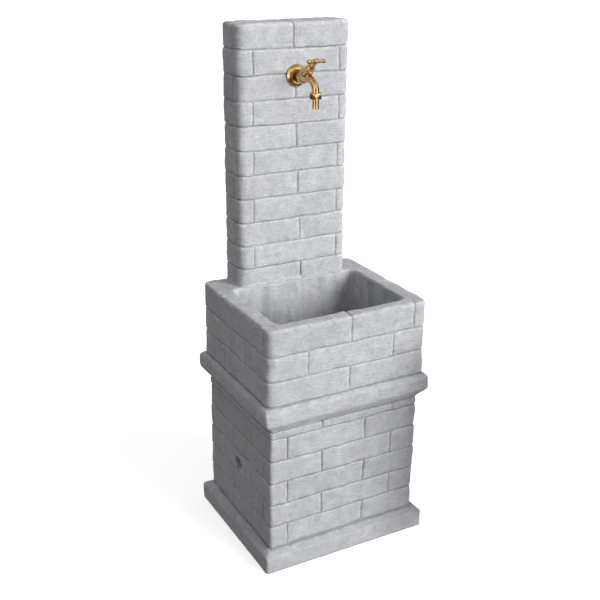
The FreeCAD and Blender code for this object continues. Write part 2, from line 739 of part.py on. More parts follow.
def make_basin():
    body = new_body("basin_block")
    under = sketch_on(body, "ledge_under_low", "XY_Plane", "basin_foot")
    rounded_rectangle(under, "pedestal_width", "pedestal_depth", "pedestal_corner")
    edge = sketch_on(body, "ledge_under_high", "XY_Plane", "ledge_low")
    rounded_rectangle(edge, "ledge_width", "ledge_depth", "ledge_corner")
    loft(body, "ledge_under", under, edge)
    face = sketch_on(body, "ledge_outline", "XY_Plane", "ledge_low")
    rounded_rectangle(face, "ledge_width", "ledge_depth", "ledge_corner")
    pad(body, "ledge", face, "ledge_face")
    low = sketch_on(body, "ledge_slope_low", "XY_Plane", "ledge_high")
    rounded_rectangle(low, "ledge_width", "ledge_depth", "ledge_corner")
    high = sketch_on(body, "ledge_slope_high", "XY_Plane", "brickwork_foot")
    rounded_rectangle(high, "basin_width", "basin_length", "basin_corner")
    loft(body, "ledge_slope", low, high)
    wall = sketch_on(body, "basin_outline", "XY_Plane", "brickwork_foot")
    rounded_rectangle(wall, "basin_width", "basin_length", "basin_corner")
    pad(body, "basin_brickwork", wall, "basin_height")
    opening = sketch_on(body, "basin_opening", "XY_Plane", "rim")
    rounded_rectangle(opening, "opening_width", "opening_length", "basin_opening_corner", "opening_middle")
    pocket(body, "basin_hollow", opening, "basin_depth", draft="-basin_draft")
    rim = number("rim")
    front_of_column = number("column_front") - number("cut_overrun")
    round_edges(body, "rim_edge", "rim_round",
                lambda edge: at_level(edge, rim) and min(v.Y for v in edge.Vertexes) < front_of_column)
    recess = sketch_on(body, "basin_recess_outline", "XY_Plane", "basin_foot")
    rounded_rectangle(recess, "hollow_width", "hollow_depth", "hollow_corner")
    pocket(body, "basin_recess", recess, "basin_recess_height", backwards=True)
    drain = sketch_on(body, "waste_hole_outline", "XY_Plane", "basin_floor_top")
    circle(drain, "waste_hole_diameter / 2", "0", "opening_middle")
    pocket(body, "waste_hole", drain, "basin_floor")
    seat = sketch_on(body, "waste_recess_outline", "XY_Plane", "basin_floor_top")
    circle(seat, "waste_flange_diameter / 2", "0", "opening_middle")
    pocket(body, "waste_seat", seat, "waste_recess")
    chase = sketch_on(body, "basin_chase_outline", "XY_Plane", "basin_foot")
    chase_rectangle(chase)
    pocket(body, "basin_chase", chase, "rim - basin_foot + cut_overrun", backwards=True)
    dowels = sketch_on(body, "basin_dowel_outline", "XY_Plane", "rim")
    for side in (-1, 1):
        circle(dowels, "dowel_diameter / 2 + dowel_clearance", f"{side} * dowel_spacing / 2", "dowel_line")
    pocket(body, "basin_dowel_holes", dowels, "dowel_length / 2 + dowel_end_gap")
    courses = len(BASIN_FRONT)
    cut_horizontal_joints(body, "ring_width_basin", "ring_depth_basin", "ring_corner_basin",
                          "basin_first_joint", "basin_course", courses - 1)
    levels = [("basin_first_joint + joint_width / 2", "rim")]
    levels += course_levels("basin_first_joint", "basin_course", "brickwork_foot", courses - 1)
    front = [(places, low, high) for places, (low, high) in zip(BASIN_FRONT, levels)]
    side = [(places, low, high) for places, (low, high) in zip(BASIN_SIDE, levels)]
    cut_upright_joints(body, "front", "XZ_Plane", "basin_length / 2", front)
    cut_upright_joints(body, "back", "XZ_Plane", "-basin_length / 2", front, backwards=True)
    cut_upright_joints(body, "left", "YZ_Plane", "-basin_width / 2", side, backwards=True)
    cut_upright_joints(body, "right", "YZ_Plane", "basin_width / 2", side)
    over_rim = sketch_on(body, "rim_joint_outline", "XY_Plane", "rim")
    rectangle(over_rim, f"{BASIN_FRONT[0][0]} - joint_width / 2", f"{BASIN_FRONT[0][0]} + joint_width / 2",
              "-base_depth", "-basin_length / 2 + rim_joint_reach")
    pocket(body, "rim_joint", over_rim, "joint_depth")
    return body


def make_column():
    body = new_body("column_block")
    outline = sketch_on(body, "column_outline", "XY_Plane", "column_foot")
    rectangle(outline, "-column_width / 2", "column_width / 2", "column_front", "back_face")
    pad(body, "column_brickwork", outline, "column_height")
    half_wide = number("column_width") / 2
    for side, radius, line in (("front", "column_front_corner", "column_front"),
                               ("back", "column_back_corner", "back_face")):
        level = number(line)
        round_edges(body, f"column_{side}_edges", radius,
                    lambda edge: all(near(v.Y, level) and near(abs(v.X), half_wide) for v in edge.Vertexes)
                    and edge.Length > half_wide)
    top = number("column_top")
    round_edges(body, "column_top_edge", "column_top_round", lambda edge: at_level(edge, top))
    chase = sketch_on(body, "column_chase_outline", "XY_Plane", "column_foot")
    chase_rectangle(chase)
    pocket(body, "column_chase", chase, "pocket_foot - column_foot + cut_overrun", backwards=True)
    service = sketch_on(body, "service_pocket_outline", "XZ_Plane", "-chase_face")
    rectangle(service, "tap_across - pocket_width / 2", "tap_across + pocket_width / 2",
              "pocket_foot", "pocket_foot + pocket_height")
    pocket(body, "service_pocket", service, "base_depth")
    hole = sketch_on(body, "tap_hole_outline", "XZ_Plane", "-column_front")
    circle(hole, "tap_hole_diameter / 2", "tap_across", "tap_level")
    pocket(body, "tap_hole", hole, "tap_web + cut_overrun")
    plugs = sketch_on(body, "plug_hole_outline", "XZ_Plane", "-chase_face")
    for side in (-1, 1):
        circle(plugs, "plug_diameter / 2", f"tap_across + {side} * elbow_screw_spacing / 2", "tap_level")
    for index in range(clip_count()):
        circle(plugs, "plug_diameter / 2", "tap_across", f"column_foot + clip_first + {index} * clip_pitch")
    pocket(body, "plug_holes", plugs, "plug_length", backwards=True)
    dowels = sketch_on(body, "column_dowel_outline", "XY_Plane", "column_foot")
    for side in (-1, 1):
        circle(dowels, "dowel_diameter / 2 + dowel_clearance", f"{side} * dowel_spacing / 2", "dowel_line")
    pocket(body, "column_dowel_holes", dowels, "dowel_length / 2 + dowel_end_gap", backwards=True)
    joints = int((number("column_first_joint") - number("column_foot")) / number("column_course"))
    cut_horizontal_joints(body, "ring_width_column", "ring_depth_column", "ring_corner_column",
                          "column_first_joint", "column_course", joints + 1, "ring_middle_column")
    levels = [("column_first_joint + joint_width / 2", "column_top")]
    levels += course_levels("column_first_joint", "column_course", "column_foot", joints + 1)
    front = []
    for row, (low, high) in enumerate(levels):
        drift = "0" if row % 2 else f"column_joint_drift * {row} / 2"
        front.append(([f"{across} + {drift}" for across in COLUMN_FRONT[row % 2]], low, high))
    side = [(("column_front + column_side_joint",), low, high) for low, high in levels[::2]]
    cut_upright_joints(body, "front", "XZ_Plane", "-column_front", front)
    cut_upright_joints(body, "left", "YZ_Plane", "-column_width / 2", side, backwards=True)
    cut_upright_joints(body, "right", "YZ_Plane", "column_width / 2", side)
    over_top = sketch_on(body, "top_joint_outline", "XY_Plane", "column_top")
    rectangle(over_top, f"{COLUMN_FRONT[0][0]} - joint_width / 2", f"{COLUMN_FRONT[0][0]} + joint_width / 2",
              "column_front - column_depth", "base_depth")
    pocket(body, "top_joint", over_top, "joint_depth")
    return body


def clip_count():
    """As many pipe clips as the chase holds below the service pocket."""
    room = number("pocket_foot") - number("column_foot") - number("clip_first") - number("clip_height")
    return 1 + int(room / number("clip_pitch"))


def make_beds():
    """The mortar between pedestal and basin, and between basin and column."""
    lower = new_body("pedestal_mortar_bed")
    outline = sketch_on(lower, "pedestal_bed_outline", "XY_Plane", "pedestal_top")
    rounded_rectangle(outline, "bed_width", "bed_depth", "pedestal_corner")
    rounded_rectangle(outline, "bed_hole_width", "bed_hole_depth", "bed_hole_corner")
    pad(lower, "pedestal_bed", outline, "pedestal_bed_thickness")
    upper = new_body("column_mortar_bed")
    outline = sketch_on(upper, "column_bed_outline", "XY_Plane", "rim")
    rectangle(outline, "-column_width / 2 + bed_recess", "column_width / 2 - bed_recess",
              "column_front + bed_recess", "back_face - bed_recess")
    pad(upper, "column_bed", outline, "column_bed_thickness")
    gaps = sketch_on(upper, "column_bed_gaps", "XY_Plane", "rim")
    for side in (-1, 1):
        circle(gaps, "dowel_diameter / 2 + dowel_clearance", f"{side} * dowel_spacing / 2", "dowel_line")
    chase_rectangle(gaps)
    pocket(upper, "column_bed_cuts", gaps, "column_bed_thickness", backwards=True)
    return [lower, upper]


def make_dowels():
    pins = [cylinder(f"dowel_{name}", "dowel_diameter / 2", "dowel_length",
                     f"{side} * dowel_spacing / 2", "dowel_line", "dowel_foot")
            for name, side in (("left", -1), ("right", 1))]
    return grouped("column_dowels", pins)


# ---------------------------------------------------------------- water supply
def bent_pipe(points, bend, radius):
    """A round bar along straight runs joined by arcs of one bend radius."""
    edges = []
    start = points[0]
    for before, corner, after in zip(points, points[1:], points[2:]):
        arriving = (corner - before).normalize()
        leaving = (after - corner).normalize()
        reach = bend * math.tan(arriving.getAngle(leaving) / 2)
        arc_start = corner - arriving * reach
        arc_end = corner + leaving * reach
        inward = (leaving - arriving).normalize()
        middle = corner + inward * (reach * math.sqrt(2) - bend)
        edges.append(Part.LineSegment(start, arc_start).toShape())
        edges.append(Part.Arc(arc_start, middle, arc_end).toShape())
        start = arc_end
    edges.append(Part.LineSegment(start, points[-1]).toShape())
    first = (points[1] - points[0]).normalize()
    section = Part.Wire([Part.Circle(points[0], first, radius).toShape()])
    return Part.Wire(edges).makePipeShell([section], True, False)


def make_riser():
    """The copper supply pipe, from the inlet behind the side hole up the chase to the elbow."""
    upright = Vector(number("tap_across"), number("pipe_line"), number("pipe_top"))
    turn_low = Vector(upright.x, upright.y, number("side_hole_level"))
    turn_front = Vector(upright.x, number("side_hole_across"), turn_low.z)
    inlet = Vector(upright.x - number("inlet_reach"), turn_front.y, turn_low.z)
    route = [upright, turn_low, turn_front, inlet]
    radius = number("pipe_diameter") / 2
    outside = bent_pipe(route, number("pipe_bend"), radius)
    inside = bent_pipe(route, number("pipe_bend"), radius - number("pipe_wall"))
    riser = doc.addObject("Part::Feature", "supply_riser")
    riser.Label = "supply_riser"
    riser.Shape = outside.cut(inside)
    riser.Placement = FreeCAD.Placement()
    return riser


def make_elbow():
    """The brass elbow screwed into the back of the web, with the tap's thread in its nose."""
    nose = cylinder("elbow_nose", "elbow_nose_radius", "elbow_nose_length + pipe_setback",
                    "tap_across", "pipe_line", "tap_level", (1, 0, 0), "90")
    socket = cylinder("elbow_socket", "elbow_socket_radius", "elbow_socket_drop",
                      "tap_across", "pipe_line", "tap_level - elbow_socket_drop")
    ball = doc.addObject("Part::Sphere", "elbow_ball")
    ball.setExpression("Radius", bound("elbow_radius"))
    place(ball, "tap_across", "pipe_line", "tap_level")
    plate = box("elbow_plate", "elbow_plate_width", "elbow_plate_thickness", "elbow_plate_height",
                "tap_across - elbow_plate_width / 2", "chase_face", "tap_level - elbow_plate_height / 2")
    solid = fused("elbow_outside", [nose, socket, ball, plate])
    thread = cylinder("elbow_thread", "thread_radius + thread_clearance", "elbow_thread_depth",
                      "tap_across", "chase_face + cut_overrun", "tap_level", (1, 0, 0), "90")
    mouth = cylinder("elbow_mouth", "pipe_socket", "elbow_socket_drop - elbow_radius + cut_overrun",
                     "tap_across", "pipe_line", "tap_level - elbow_socket_drop - cut_overrun")
    level_way = cylinder("elbow_level_way", "pipe_bore", "pipe_setback",
                         "tap_across", "pipe_line", "tap_level", (1, 0, 0), "90")
    upright_way = cylinder("elbow_upright_way", "pipe_bore", "elbow_socket_drop",
                           "tap_across", "pipe_line", "tap_level - elbow_socket_drop")
    tools = [thread, mouth, level_way, upright_way]
    for name, side in (("left", -1), ("right", 1)):
        across = f"tap_across + {side} * elbow_screw_spacing / 2"
        back = "chase_face + elbow_plate_thickness + cut_overrun"
        through = "elbow_plate_thickness + 2 * cut_overrun"
        tools.append(cylinder(f"elbow_screw_hole_{name}", "screw_room", through,
                              across, back, "tap_level", (1, 0, 0), "90"))
    return less("elbow_fitting", solid, fused("elbow_holes", tools))


def wood_screw(label, across, seat, up):
    """A pan-head screw driven towards the front, with its head on the given seat."""
    head = "screw_head_diameter / 2"
    body = turned(label, [
        ("0", "-screw_head_height"), (f"{head} - screw_head_edge", "-screw_head_height"),
        (head, "-screw_head_height + screw_head_edge"), (head, "0"), ("screw_diameter / 2", "0"),
        ("screw_diameter / 2", "plug_length"), ("0", "plug_length + screw_point")])
    return place(body, across, seat, up, (1, 0, 0), "90")


def wall_plug(label, across, up):
    """A nylon plug in the stone, hollow for its screw."""
    tube = cylinder(f"{label}_outside", "plug_diameter / 2", "plug_length",
                    across, "chase_face", up, (1, 0, 0), "90")
    hole = cylinder(f"{label}_hole", "screw_diameter / 2", "plug_length + 2 * cut_overrun",
                    across, "chase_face + cut_overrun", up, (1, 0, 0), "90")
    return less(label, tube, hole)


def make_fixings():
    """Screws and plugs of the elbow and of the pipe clips, and the clips."""
    spots = [(f"tap_across + {side} * elbow_screw_spacing / 2", "tap_level") for side in (-1, 1)]
    levels = [f"column_foot + clip_first + {index} * clip_pitch" for index in range(clip_count())]
    elbow_screws = [wood_screw(f"elbow_screw_{index}", across, "chase_face + elbow_plate_thickness", up)
                    for index, (across, up) in enumerate(spots, 1)]
    elbow_plugs = [wall_plug(f"elbow_plug_{index}", across, up)
                   for index, (across, up) in enumerate(spots, 1)]
    clip_screws = [wood_screw(f"clip_screw_{index}", "tap_across", "chase_face + clip_base", up)
                   for index, up in enumerate(levels, 1)]
    clip_plugs = [wall_plug(f"clip_plug_{index}", "tap_across", up) for index, up in enumerate(levels, 1)]
    clips = [make_clip(index, up) for index, up in enumerate(levels, 1)]
    return [grouped("elbow_screws", elbow_screws), grouped("elbow_wall_plugs", elbow_plugs),
            grouped("clip_screws", clip_screws), grouped("clip_wall_plugs", clip_plugs),
            grouped("pipe_clips", clips)]


def make_clip(index, level):
    """A nylon clip: a base on the stone and an open ring that the pipe snaps into."""
    low = f"{level} - clip_height / 2"
    under = f"{low} - cut_overrun"
    through = "clip_height + 2 * cut_overrun"
    base = box(f"clip_{index}_base", "clip_width", "clip_base", "clip_height",
               "tap_across - clip_width / 2", "chase_face", low)
    neck = box(f"clip_{index}_neck", "clip_neck_width", "pipe_setback - clip_base", "clip_height",
               "tap_across - clip_neck_width / 2", "chase_face + clip_base", low)
    collar = cylinder(f"clip_{index}_collar", "pipe_diameter / 2 + clip_ring", "clip_height",
                      "tap_across", "pipe_line", low)
    hole = cylinder(f"clip_{index}_hole", "pipe_socket", through, "tap_across", "pipe_line", under)
    mouth = box(f"clip_{index}_mouth", "clip_mouth_width", "pipe_diameter", through,
                "tap_across - clip_mouth_width / 2", "pipe_line", under)
    head_room = cylinder(f"clip_{index}_head_room", "screw_head_diameter / 2 + screw_head_room",
                         "pipe_setback", "tap_across", "chase_face + clip_base + pipe_setback", level,
                         (1, 0, 0), "90")
    screw_hole = cylinder(f"clip_{index}_screw_hole", "screw_room", "clip_base + 2 * cut_overrun",
                          "tap_across", "chase_face + clip_base + cut_overrun", level, (1, 0, 0), "90")
    solid = fused(f"clip_{index}_solid", [base, neck, collar])
    return less(f"clip_{index}", solid, fused(f"clip_{index}_cuts", [hole, mouth, head_room, screw_hole]))


def make_inlet():
    """The compression fitting on the pipe's lower end, facing the side hole."""
    thread_end = "-inlet_flange_low - inlet_thread_length"
    adapter = turned("inlet_adapter", [
        ("pipe_bore", thread_end), ("thread_radius - screw_head_edge", thread_end),
        ("thread_radius", f"{thread_end} + screw_head_edge"), ("thread_radius", "-inlet_flange_low"),
        ("inlet_flange_radius", "-inlet_flange_low"), ("inlet_flange_radius", "inlet_flange_high"),
        ("inlet_socket_radius", "inlet_flange_high"), ("inlet_socket_radius", "inlet_socket_length"),
        ("pipe_socket", "inlet_socket_length"), ("pipe_socket", "0"), ("pipe_bore", "0")])
    nut = new_body("inlet_nut")
    barrel_foot = "(inlet_flange_high + inlet_nut_gap)"
    barrel_top = "(inlet_socket_length + nut_end_gap)"
    outline = sketch_on(nut, "inlet_nut_outline", "XY_Plane", barrel_foot)
    hexagon(outline, "inlet_nut_hex")
    circle(outline, "inlet_socket_radius + thread_clearance")
    pad(nut, "inlet_nut_barrel", outline, f"{barrel_top} - {barrel_foot}")
    cap = sketch_on(nut, "inlet_nut_cap_outline", "XY_Plane", barrel_top)
    hexagon(cap, "inlet_nut_hex")
    circle(cap, "pipe_socket")
    pad(nut, "inlet_nut_cap", cap, "inlet_nut_cap")
    for item in (adapter, nut):
        place(item, "tap_across - inlet_reach", "side_hole_across", "side_hole_level", (0, 1, 0), "90")
    return [adapter, nut]


# ---------------------------------------------------------------- tap
def make_rosette():
    """The domed flange that hides the hole in the stone."""
    rim = "rosette_diameter / 2"
    hole = "thread_radius + rosette_clearance"
    body = turned("rosette", [
        (hole, "0"), (rim, "0"), (rim, "rosette_plate"),
        (f"{rim} - rosette_dome_width / 3", "rosette_plate + (rosette_depth - rosette_plate) * 0.4"),
        (f"{rim} - rosette_dome_width", "rosette_plate + (rosette_depth - rosette_plate) * 0.8"),
        ("rosette_face_radius", "rosette_depth"), (hole, "rosette_depth")])
    return on_tap(body)


def quarter_bend(label, radius):
    """A quarter turn of round bar from the level spout down to the outlet."""
    bend = doc.addObject("Part::Torus", label)
    bend.setExpression("Radius1", bound("spout_bend"))
    bend.setExpression("Radius2", bound(radius))
    bend.Angle3 = 90.0
    place(bend, "tap_across", "outlet_line + spout_bend", "tap_level - spout_bend")
    bend.Placement.Rotation = Rotation(Vector(0, -1, 0), Vector(0, 0, 1), Vector(-1, 0, 0), "XYZ")
    return bend


def make_tap_body():
    """Shank, valve chamber and curved spout in one brass casting, with its waterways."""
    flare = "shank_flare_radius"
    shank = on_tap(turned("tap_shank", [
        ("0", "-tap_thread_length"), ("thread_radius", "-tap_thread_length"),
        ("thread_radius", "rosette_depth"), ("shank_radius", "rosette_depth"),
        ("shank_radius", "rosette_depth + shank_collar"), (flare, "headwork_offset - shank_belly"),
        (flare, "headwork_offset + shank_belly"), ("0", "headwork_offset + shank_end")]))
    belly = "chamber_belly"
    chamber = on_headwork(turned("tap_chamber", [
        ("0", "-chamber_nose"), ("chamber_nose_radius", "-chamber_nose"),
        ("chamber_radius - chamber_edge", f"-{belly}"), ("chamber_radius", f"-{belly} / 2"),
        ("chamber_radius", f"{belly} / 2"), ("chamber_radius - chamber_edge", belly),
        ("chamber_mouth_radius + chamber_edge", "chamber_height - chamber_edge"),
        ("chamber_mouth_radius", "chamber_height"), ("0", "chamber_height")]))
    run = cylinder("spout_run", "spout_radius", "spout_reach - spout_bend - headwork_offset + spout_radius",
                   "tap_across", "axis_crossing + spout_radius", "tap_level", (1, 0, 0), "90")
    thread = cylinder("spout_thread", "spout_thread_radius", "union_top - spout_end",
                      "tap_across", "outlet_line", "spout_end")
    solid = fused("tap_solid", [shank, chamber, run, quarter_bend("spout_bend_bar", "spout_radius"), thread])
    thread_end = "column_front + tap_thread_length + cut_overrun"
    inlet = cylinder("tap_inlet_way", "inlet_bore", "tap_thread_length + headwork_offset + cut_overrun",
                     "tap_across", thread_end, "tap_level", (1, 0, 0), "90")
    seat = on_headwork(turned("tap_seat_way", [("0", "-seat_distance"), ("seat_bore", "-seat_distance"),
                                               ("seat_bore", "0"), ("0", "0")]))
    room_top = "chamber_height + cut_overrun"
    room = on_headwork(turned("tap_valve_room", [
        ("0", "0"), ("headwork_thread_radius", "0"), ("headwork_thread_radius", room_top), ("0", room_top)]))
    spout_way = cylinder("tap_spout_way", "spout_bore",
                         "spout_reach - spout_bend - headwork_offset - outlet_way_start",
                         "tap_across", "axis_crossing - outlet_way_start", "tap_level", (1, 0, 0), "90")
    side_way = cylinder("tap_side_way", "spout_bore", "headwork_low + side_way_rise",
                        "tap_across", "axis_crossing - side_way_reach", "tap_level")
    drop = cylinder("spout_way_drop", "spout_bore", "tap_level - spout_bend - spout_end + cut_overrun",
                    "tap_across", "outlet_line", "spout_end - cut_overrun")
    ways = fused("tap_waterways", [inlet, seat, room, spout_way, side_way,
                                   quarter_bend("spout_way_bend", "spout_bore"), drop])
    return less("tap_body", solid, ways)


def make_headwork():
    """Washer, bonnet, packing and gland nut: the fixed pieces on the tilted axis."""
    washer = ring("bonnet_washer", "bonnet_washer_inner", "bonnet_washer_outer",
                  "chamber_height", "bonnet_foot")
    bonnet = new_body("bonnet")
    skirt = sketch_on(bonnet, "bonnet_skirt_outline", "XY_Plane", "bonnet_skirt_foot")
    circle(skirt, "headwork_thread_radius - thread_clearance")
    pad(bonnet, "bonnet_skirt", skirt, "bonnet_foot - bonnet_skirt_foot + cut_overrun")
    flats = sketch_on(bonnet, "bonnet_hex_outline", "XY_Plane", "bonnet_foot")
    hexagon(flats, "bonnet_hex")
    pad(bonnet, "bonnet_hexagon", flats, "bonnet_hex_height")
    neck = sketch_on(bonnet, "bonnet_neck_outline", "XY_Plane", "bonnet_hex_top")
    circle(neck, "bonnet_neck_radius")
    pad(bonnet, "bonnet_neck", neck, "bonnet_neck_height")
    valve = sketch_on(bonnet, "bonnet_valve_outline", "XY_Plane", "bonnet_skirt_foot")
    circle(valve, "jumper_disc_radius + bonnet_valve_clearance")
    pocket(bonnet, "bonnet_valve_room", valve, "bonnet_valve_depth", backwards=True)
    stem = sketch_on(bonnet, "bonnet_stem_outline", "XY_Plane")
    circle(stem, "stem_thread_radius + running_clearance")
    pocket(bonnet, "bonnet_stem_bore", stem, backwards=True)
    packing_box = sketch_on(bonnet, "bonnet_packing_outline", "XY_Plane", "bonnet_top")
    circle(packing_box, "packing_radius")
    pocket(bonnet, "bonnet_packing_box", packing_box, "bonnet_top - packing_foot")
    packing = ring("packing_ring", "stem_radius + running_clearance", "packing_radius",
                   "packing_foot", "packing_foot + packing_height")
    gland = new_body("gland_nut")
    barrel = sketch_on(gland, "gland_barrel_outline", "XY_Plane", "gland_foot")
    hexagon(barrel, "gland_hex")
    circle(barrel, "bonnet_neck_radius + thread_clearance")
    pad(gland, "gland_barrel", barrel, "bonnet_top - gland_foot")
    cap = sketch_on(gland, "gland_cap_outline", "XY_Plane", "bonnet_top")
    hexagon(cap, "gland_hex")
    circle(cap, "stem_radius + running_clearance")
    pad(gland, "gland_cap", cap, "gland_top - bonnet_top")
    nose = sketch_on(gland, "gland_nose_outline", "XY_Plane", "packing_foot + packing_height")
    circle(nose, "packing_radius - thread_clearance")
    circle(nose, "stem_radius + running_clearance")
    pad(gland, "gland_nose", nose, "packing_web")
    return [on_headwork(item) for item in (washer, bonnet, packing, gland)]


def make_valve():
    """The pieces that lift off the seat: jumper, rubber washer and the screw that holds it."""
    low = "seat_gap"
    disc_low = "seat_gap + washer_thickness"
    pin_top = "stem_foot + jumper_pin_length"
    jumper = turned("jumper", [
        ("0", disc_low), ("jumper_disc_radius", disc_low), ("jumper_disc_radius", "stem_foot"),
        ("jumper_pin_radius", "stem_foot"), ("jumper_pin_radius", f"{pin_top} - pin_edge"),
        ("jumper_pin_radius - pin_edge", pin_top), ("0", pin_top)])
    washer = ring("valve_washer", "washer_screw_radius + washer_screw_clearance", "washer_radius",
                  low, disc_low)
    head = "washer_screw_head_radius"
    head_foot = f"{low} - washer_screw_head_height"
    screw = turned("washer_screw", [
        ("0", head_foot), (f"{head} - pin_edge", head_foot), (head, f"{head_foot} + pin_edge"), (head, low),
        ("washer_screw_radius", low), ("washer_screw_radius", disc_low), ("0", disc_low)])
    return [on_headwork(item) for item in (jumper, washer, screw)]


def make_stem():
    """The spindle: threaded foot, round stem, square for the handle, and the jumper's socket."""
    socket = "jumper_pin_radius + running_clearance"
    socket_top = "stem_foot + jumper_pin_length + nut_end_gap"
    spindle = turned("spindle", [
        (socket, "stem_foot"), ("stem_thread_radius - pin_edge", "stem_foot"),
        ("stem_thread_radius", "stem_foot + pin_edge"), ("stem_thread_radius", "stem_shoulder"),
        ("stem_radius", "stem_shoulder + pin_edge"), ("stem_radius", "handle_foot"), ("0", "handle_foot"),
        ("0", socket_top), (socket, socket_top)])
    square = sketch_on(spindle, "spindle_square_outline", "XY_Plane", "handle_foot")
    rectangle(square, "-stem_square / 2", "stem_square / 2", "-stem_square / 2", "stem_square / 2")
    pad(spindle, "spindle_square", square, "stem_top - handle_foot")
    hole = sketch_on(spindle, "spindle_screw_outline", "XY_Plane", "stem_top")
    circle(hole, "handle_screw_radius + thread_clearance")
    pocket(spindle, "spindle_screw_hole", hole, "handle_screw_length + nut_end_gap")
    return on_headwork(spindle)


def make_handle():
    """The T handle: a waisted hub on the square and a cross bar with thicker rounded ends."""
    collar = "handle_hub_foot + screw_head_edge"
    waist_foot = "handle_foot + handle_foot_collar + screw_head_edge"
    hub = turned("handle_hub", [
        ("0", "handle_foot"), (collar, "handle_foot"), (collar, "handle_foot + handle_foot_collar"),
        ("handle_hub_foot", waist_foot), ("handle_hub_foot", "handle_foot + handle_waist"),
        ("handle_hub_radius", "handle_level - handle_bar_radius"),
        ("handle_hub_radius", "handle_top - screw_head_edge"),
        ("handle_hub_radius - screw_head_edge", "handle_top"), ("0", "handle_top")])
    half = "handle_span / 2"
    thick = "handle_end_radius"
    thin = "handle_bar_radius"
    bar = turned("handle_bar", [
        ("0", f"-{half}"), (f"{thick} - handle_edge", f"-{half}"), (thick, f"-{half} + handle_edge"),
        (thick, f"-{half} + handle_bar_end"), (thin, f"-{half} + handle_bar_end + handle_bar_taper"),
        (thin, f"{half} - handle_bar_end - handle_bar_taper"), (thick, f"{half} - handle_bar_end"),
        (thick, f"{half} - handle_edge"), (f"{thick} - handle_edge", half), ("0", half)])
    place(bar, "0", "0", "handle_level", (0, 1, 0), "90")
    solid = fused("handle_solid", [hub, bar])
    hole = "stem_square + 2 * square_clearance"
    square = box("handle_square", hole, hole, "stem_top - handle_foot + cut_overrun",
                 "-stem_square / 2 - square_clearance", "-stem_square / 2 - square_clearance",
                 "handle_foot - cut_overrun")
    screw_way = cylinder("handle_screw_way", "handle_screw_radius + screw_clearance",
                         "handle_top - handle_foot", "0", "0", "handle_foot")
    seat = "handle_top - handle_screw_sink"
    sink = cylinder("handle_screw_sink", "handle_screw_head_radius + screw_clearance",
                    "handle_screw_sink + cut_overrun", "0", "0", seat)
    handle = less("tap_handle", solid, fused("handle_cuts", [square, screw_way, sink]))
    on_headwork(handle)
    head = "handle_screw_head_radius"
    screw = turned("handle_screw", [
        ("0", "stem_top - handle_screw_length"), ("handle_screw_radius", "stem_top - handle_screw_length"),
        ("handle_screw_radius", seat), (head, seat), (head, "handle_top - pin_edge"),
        (f"{head} - pin_edge", "handle_top"), ("0", "handle_top")])
    return [handle, on_headwork(screw)]


def make_outlet():
    """Rubber washer, union nut and hose tail under the spout."""
    washer = ring("hose_washer", "tail_bore", "tail_collar_radius", "hose_washer_foot", "spout_end")
    nut = new_body("union_nut")
    barrel = sketch_on(nut, "union_barrel_outline", "XY_Plane", "collar_foot")
    hexagon(barrel, "union_hex")
    circle(barrel, "spout_thread_radius + thread_clearance")
    pad(nut, "union_barrel", barrel, "union_top - collar_foot")
    web = sketch_on(nut, "union_web_outline", "XY_Plane", "union_foot")
    hexagon(web, "union_hex")
    circle(web, "tail_radius + tail_clearance")
    pad(nut, "union_web", web, "union_web")
    tail = turned("hose_tail", [
        ("tail_bore", "tail_foot"), ("tail_radius - tail_edge", "tail_foot"),
        ("tail_radius", "tail_foot + tail_edge"), ("tail_radius", "collar_foot"),
        ("tail_collar_radius", "collar_foot"), ("tail_collar_radius", "hose_washer_foot"),
        ("tail_bore", "hose_washer_foot")])
    return [on_outlet(item) for item in (washer, nut, tail)]


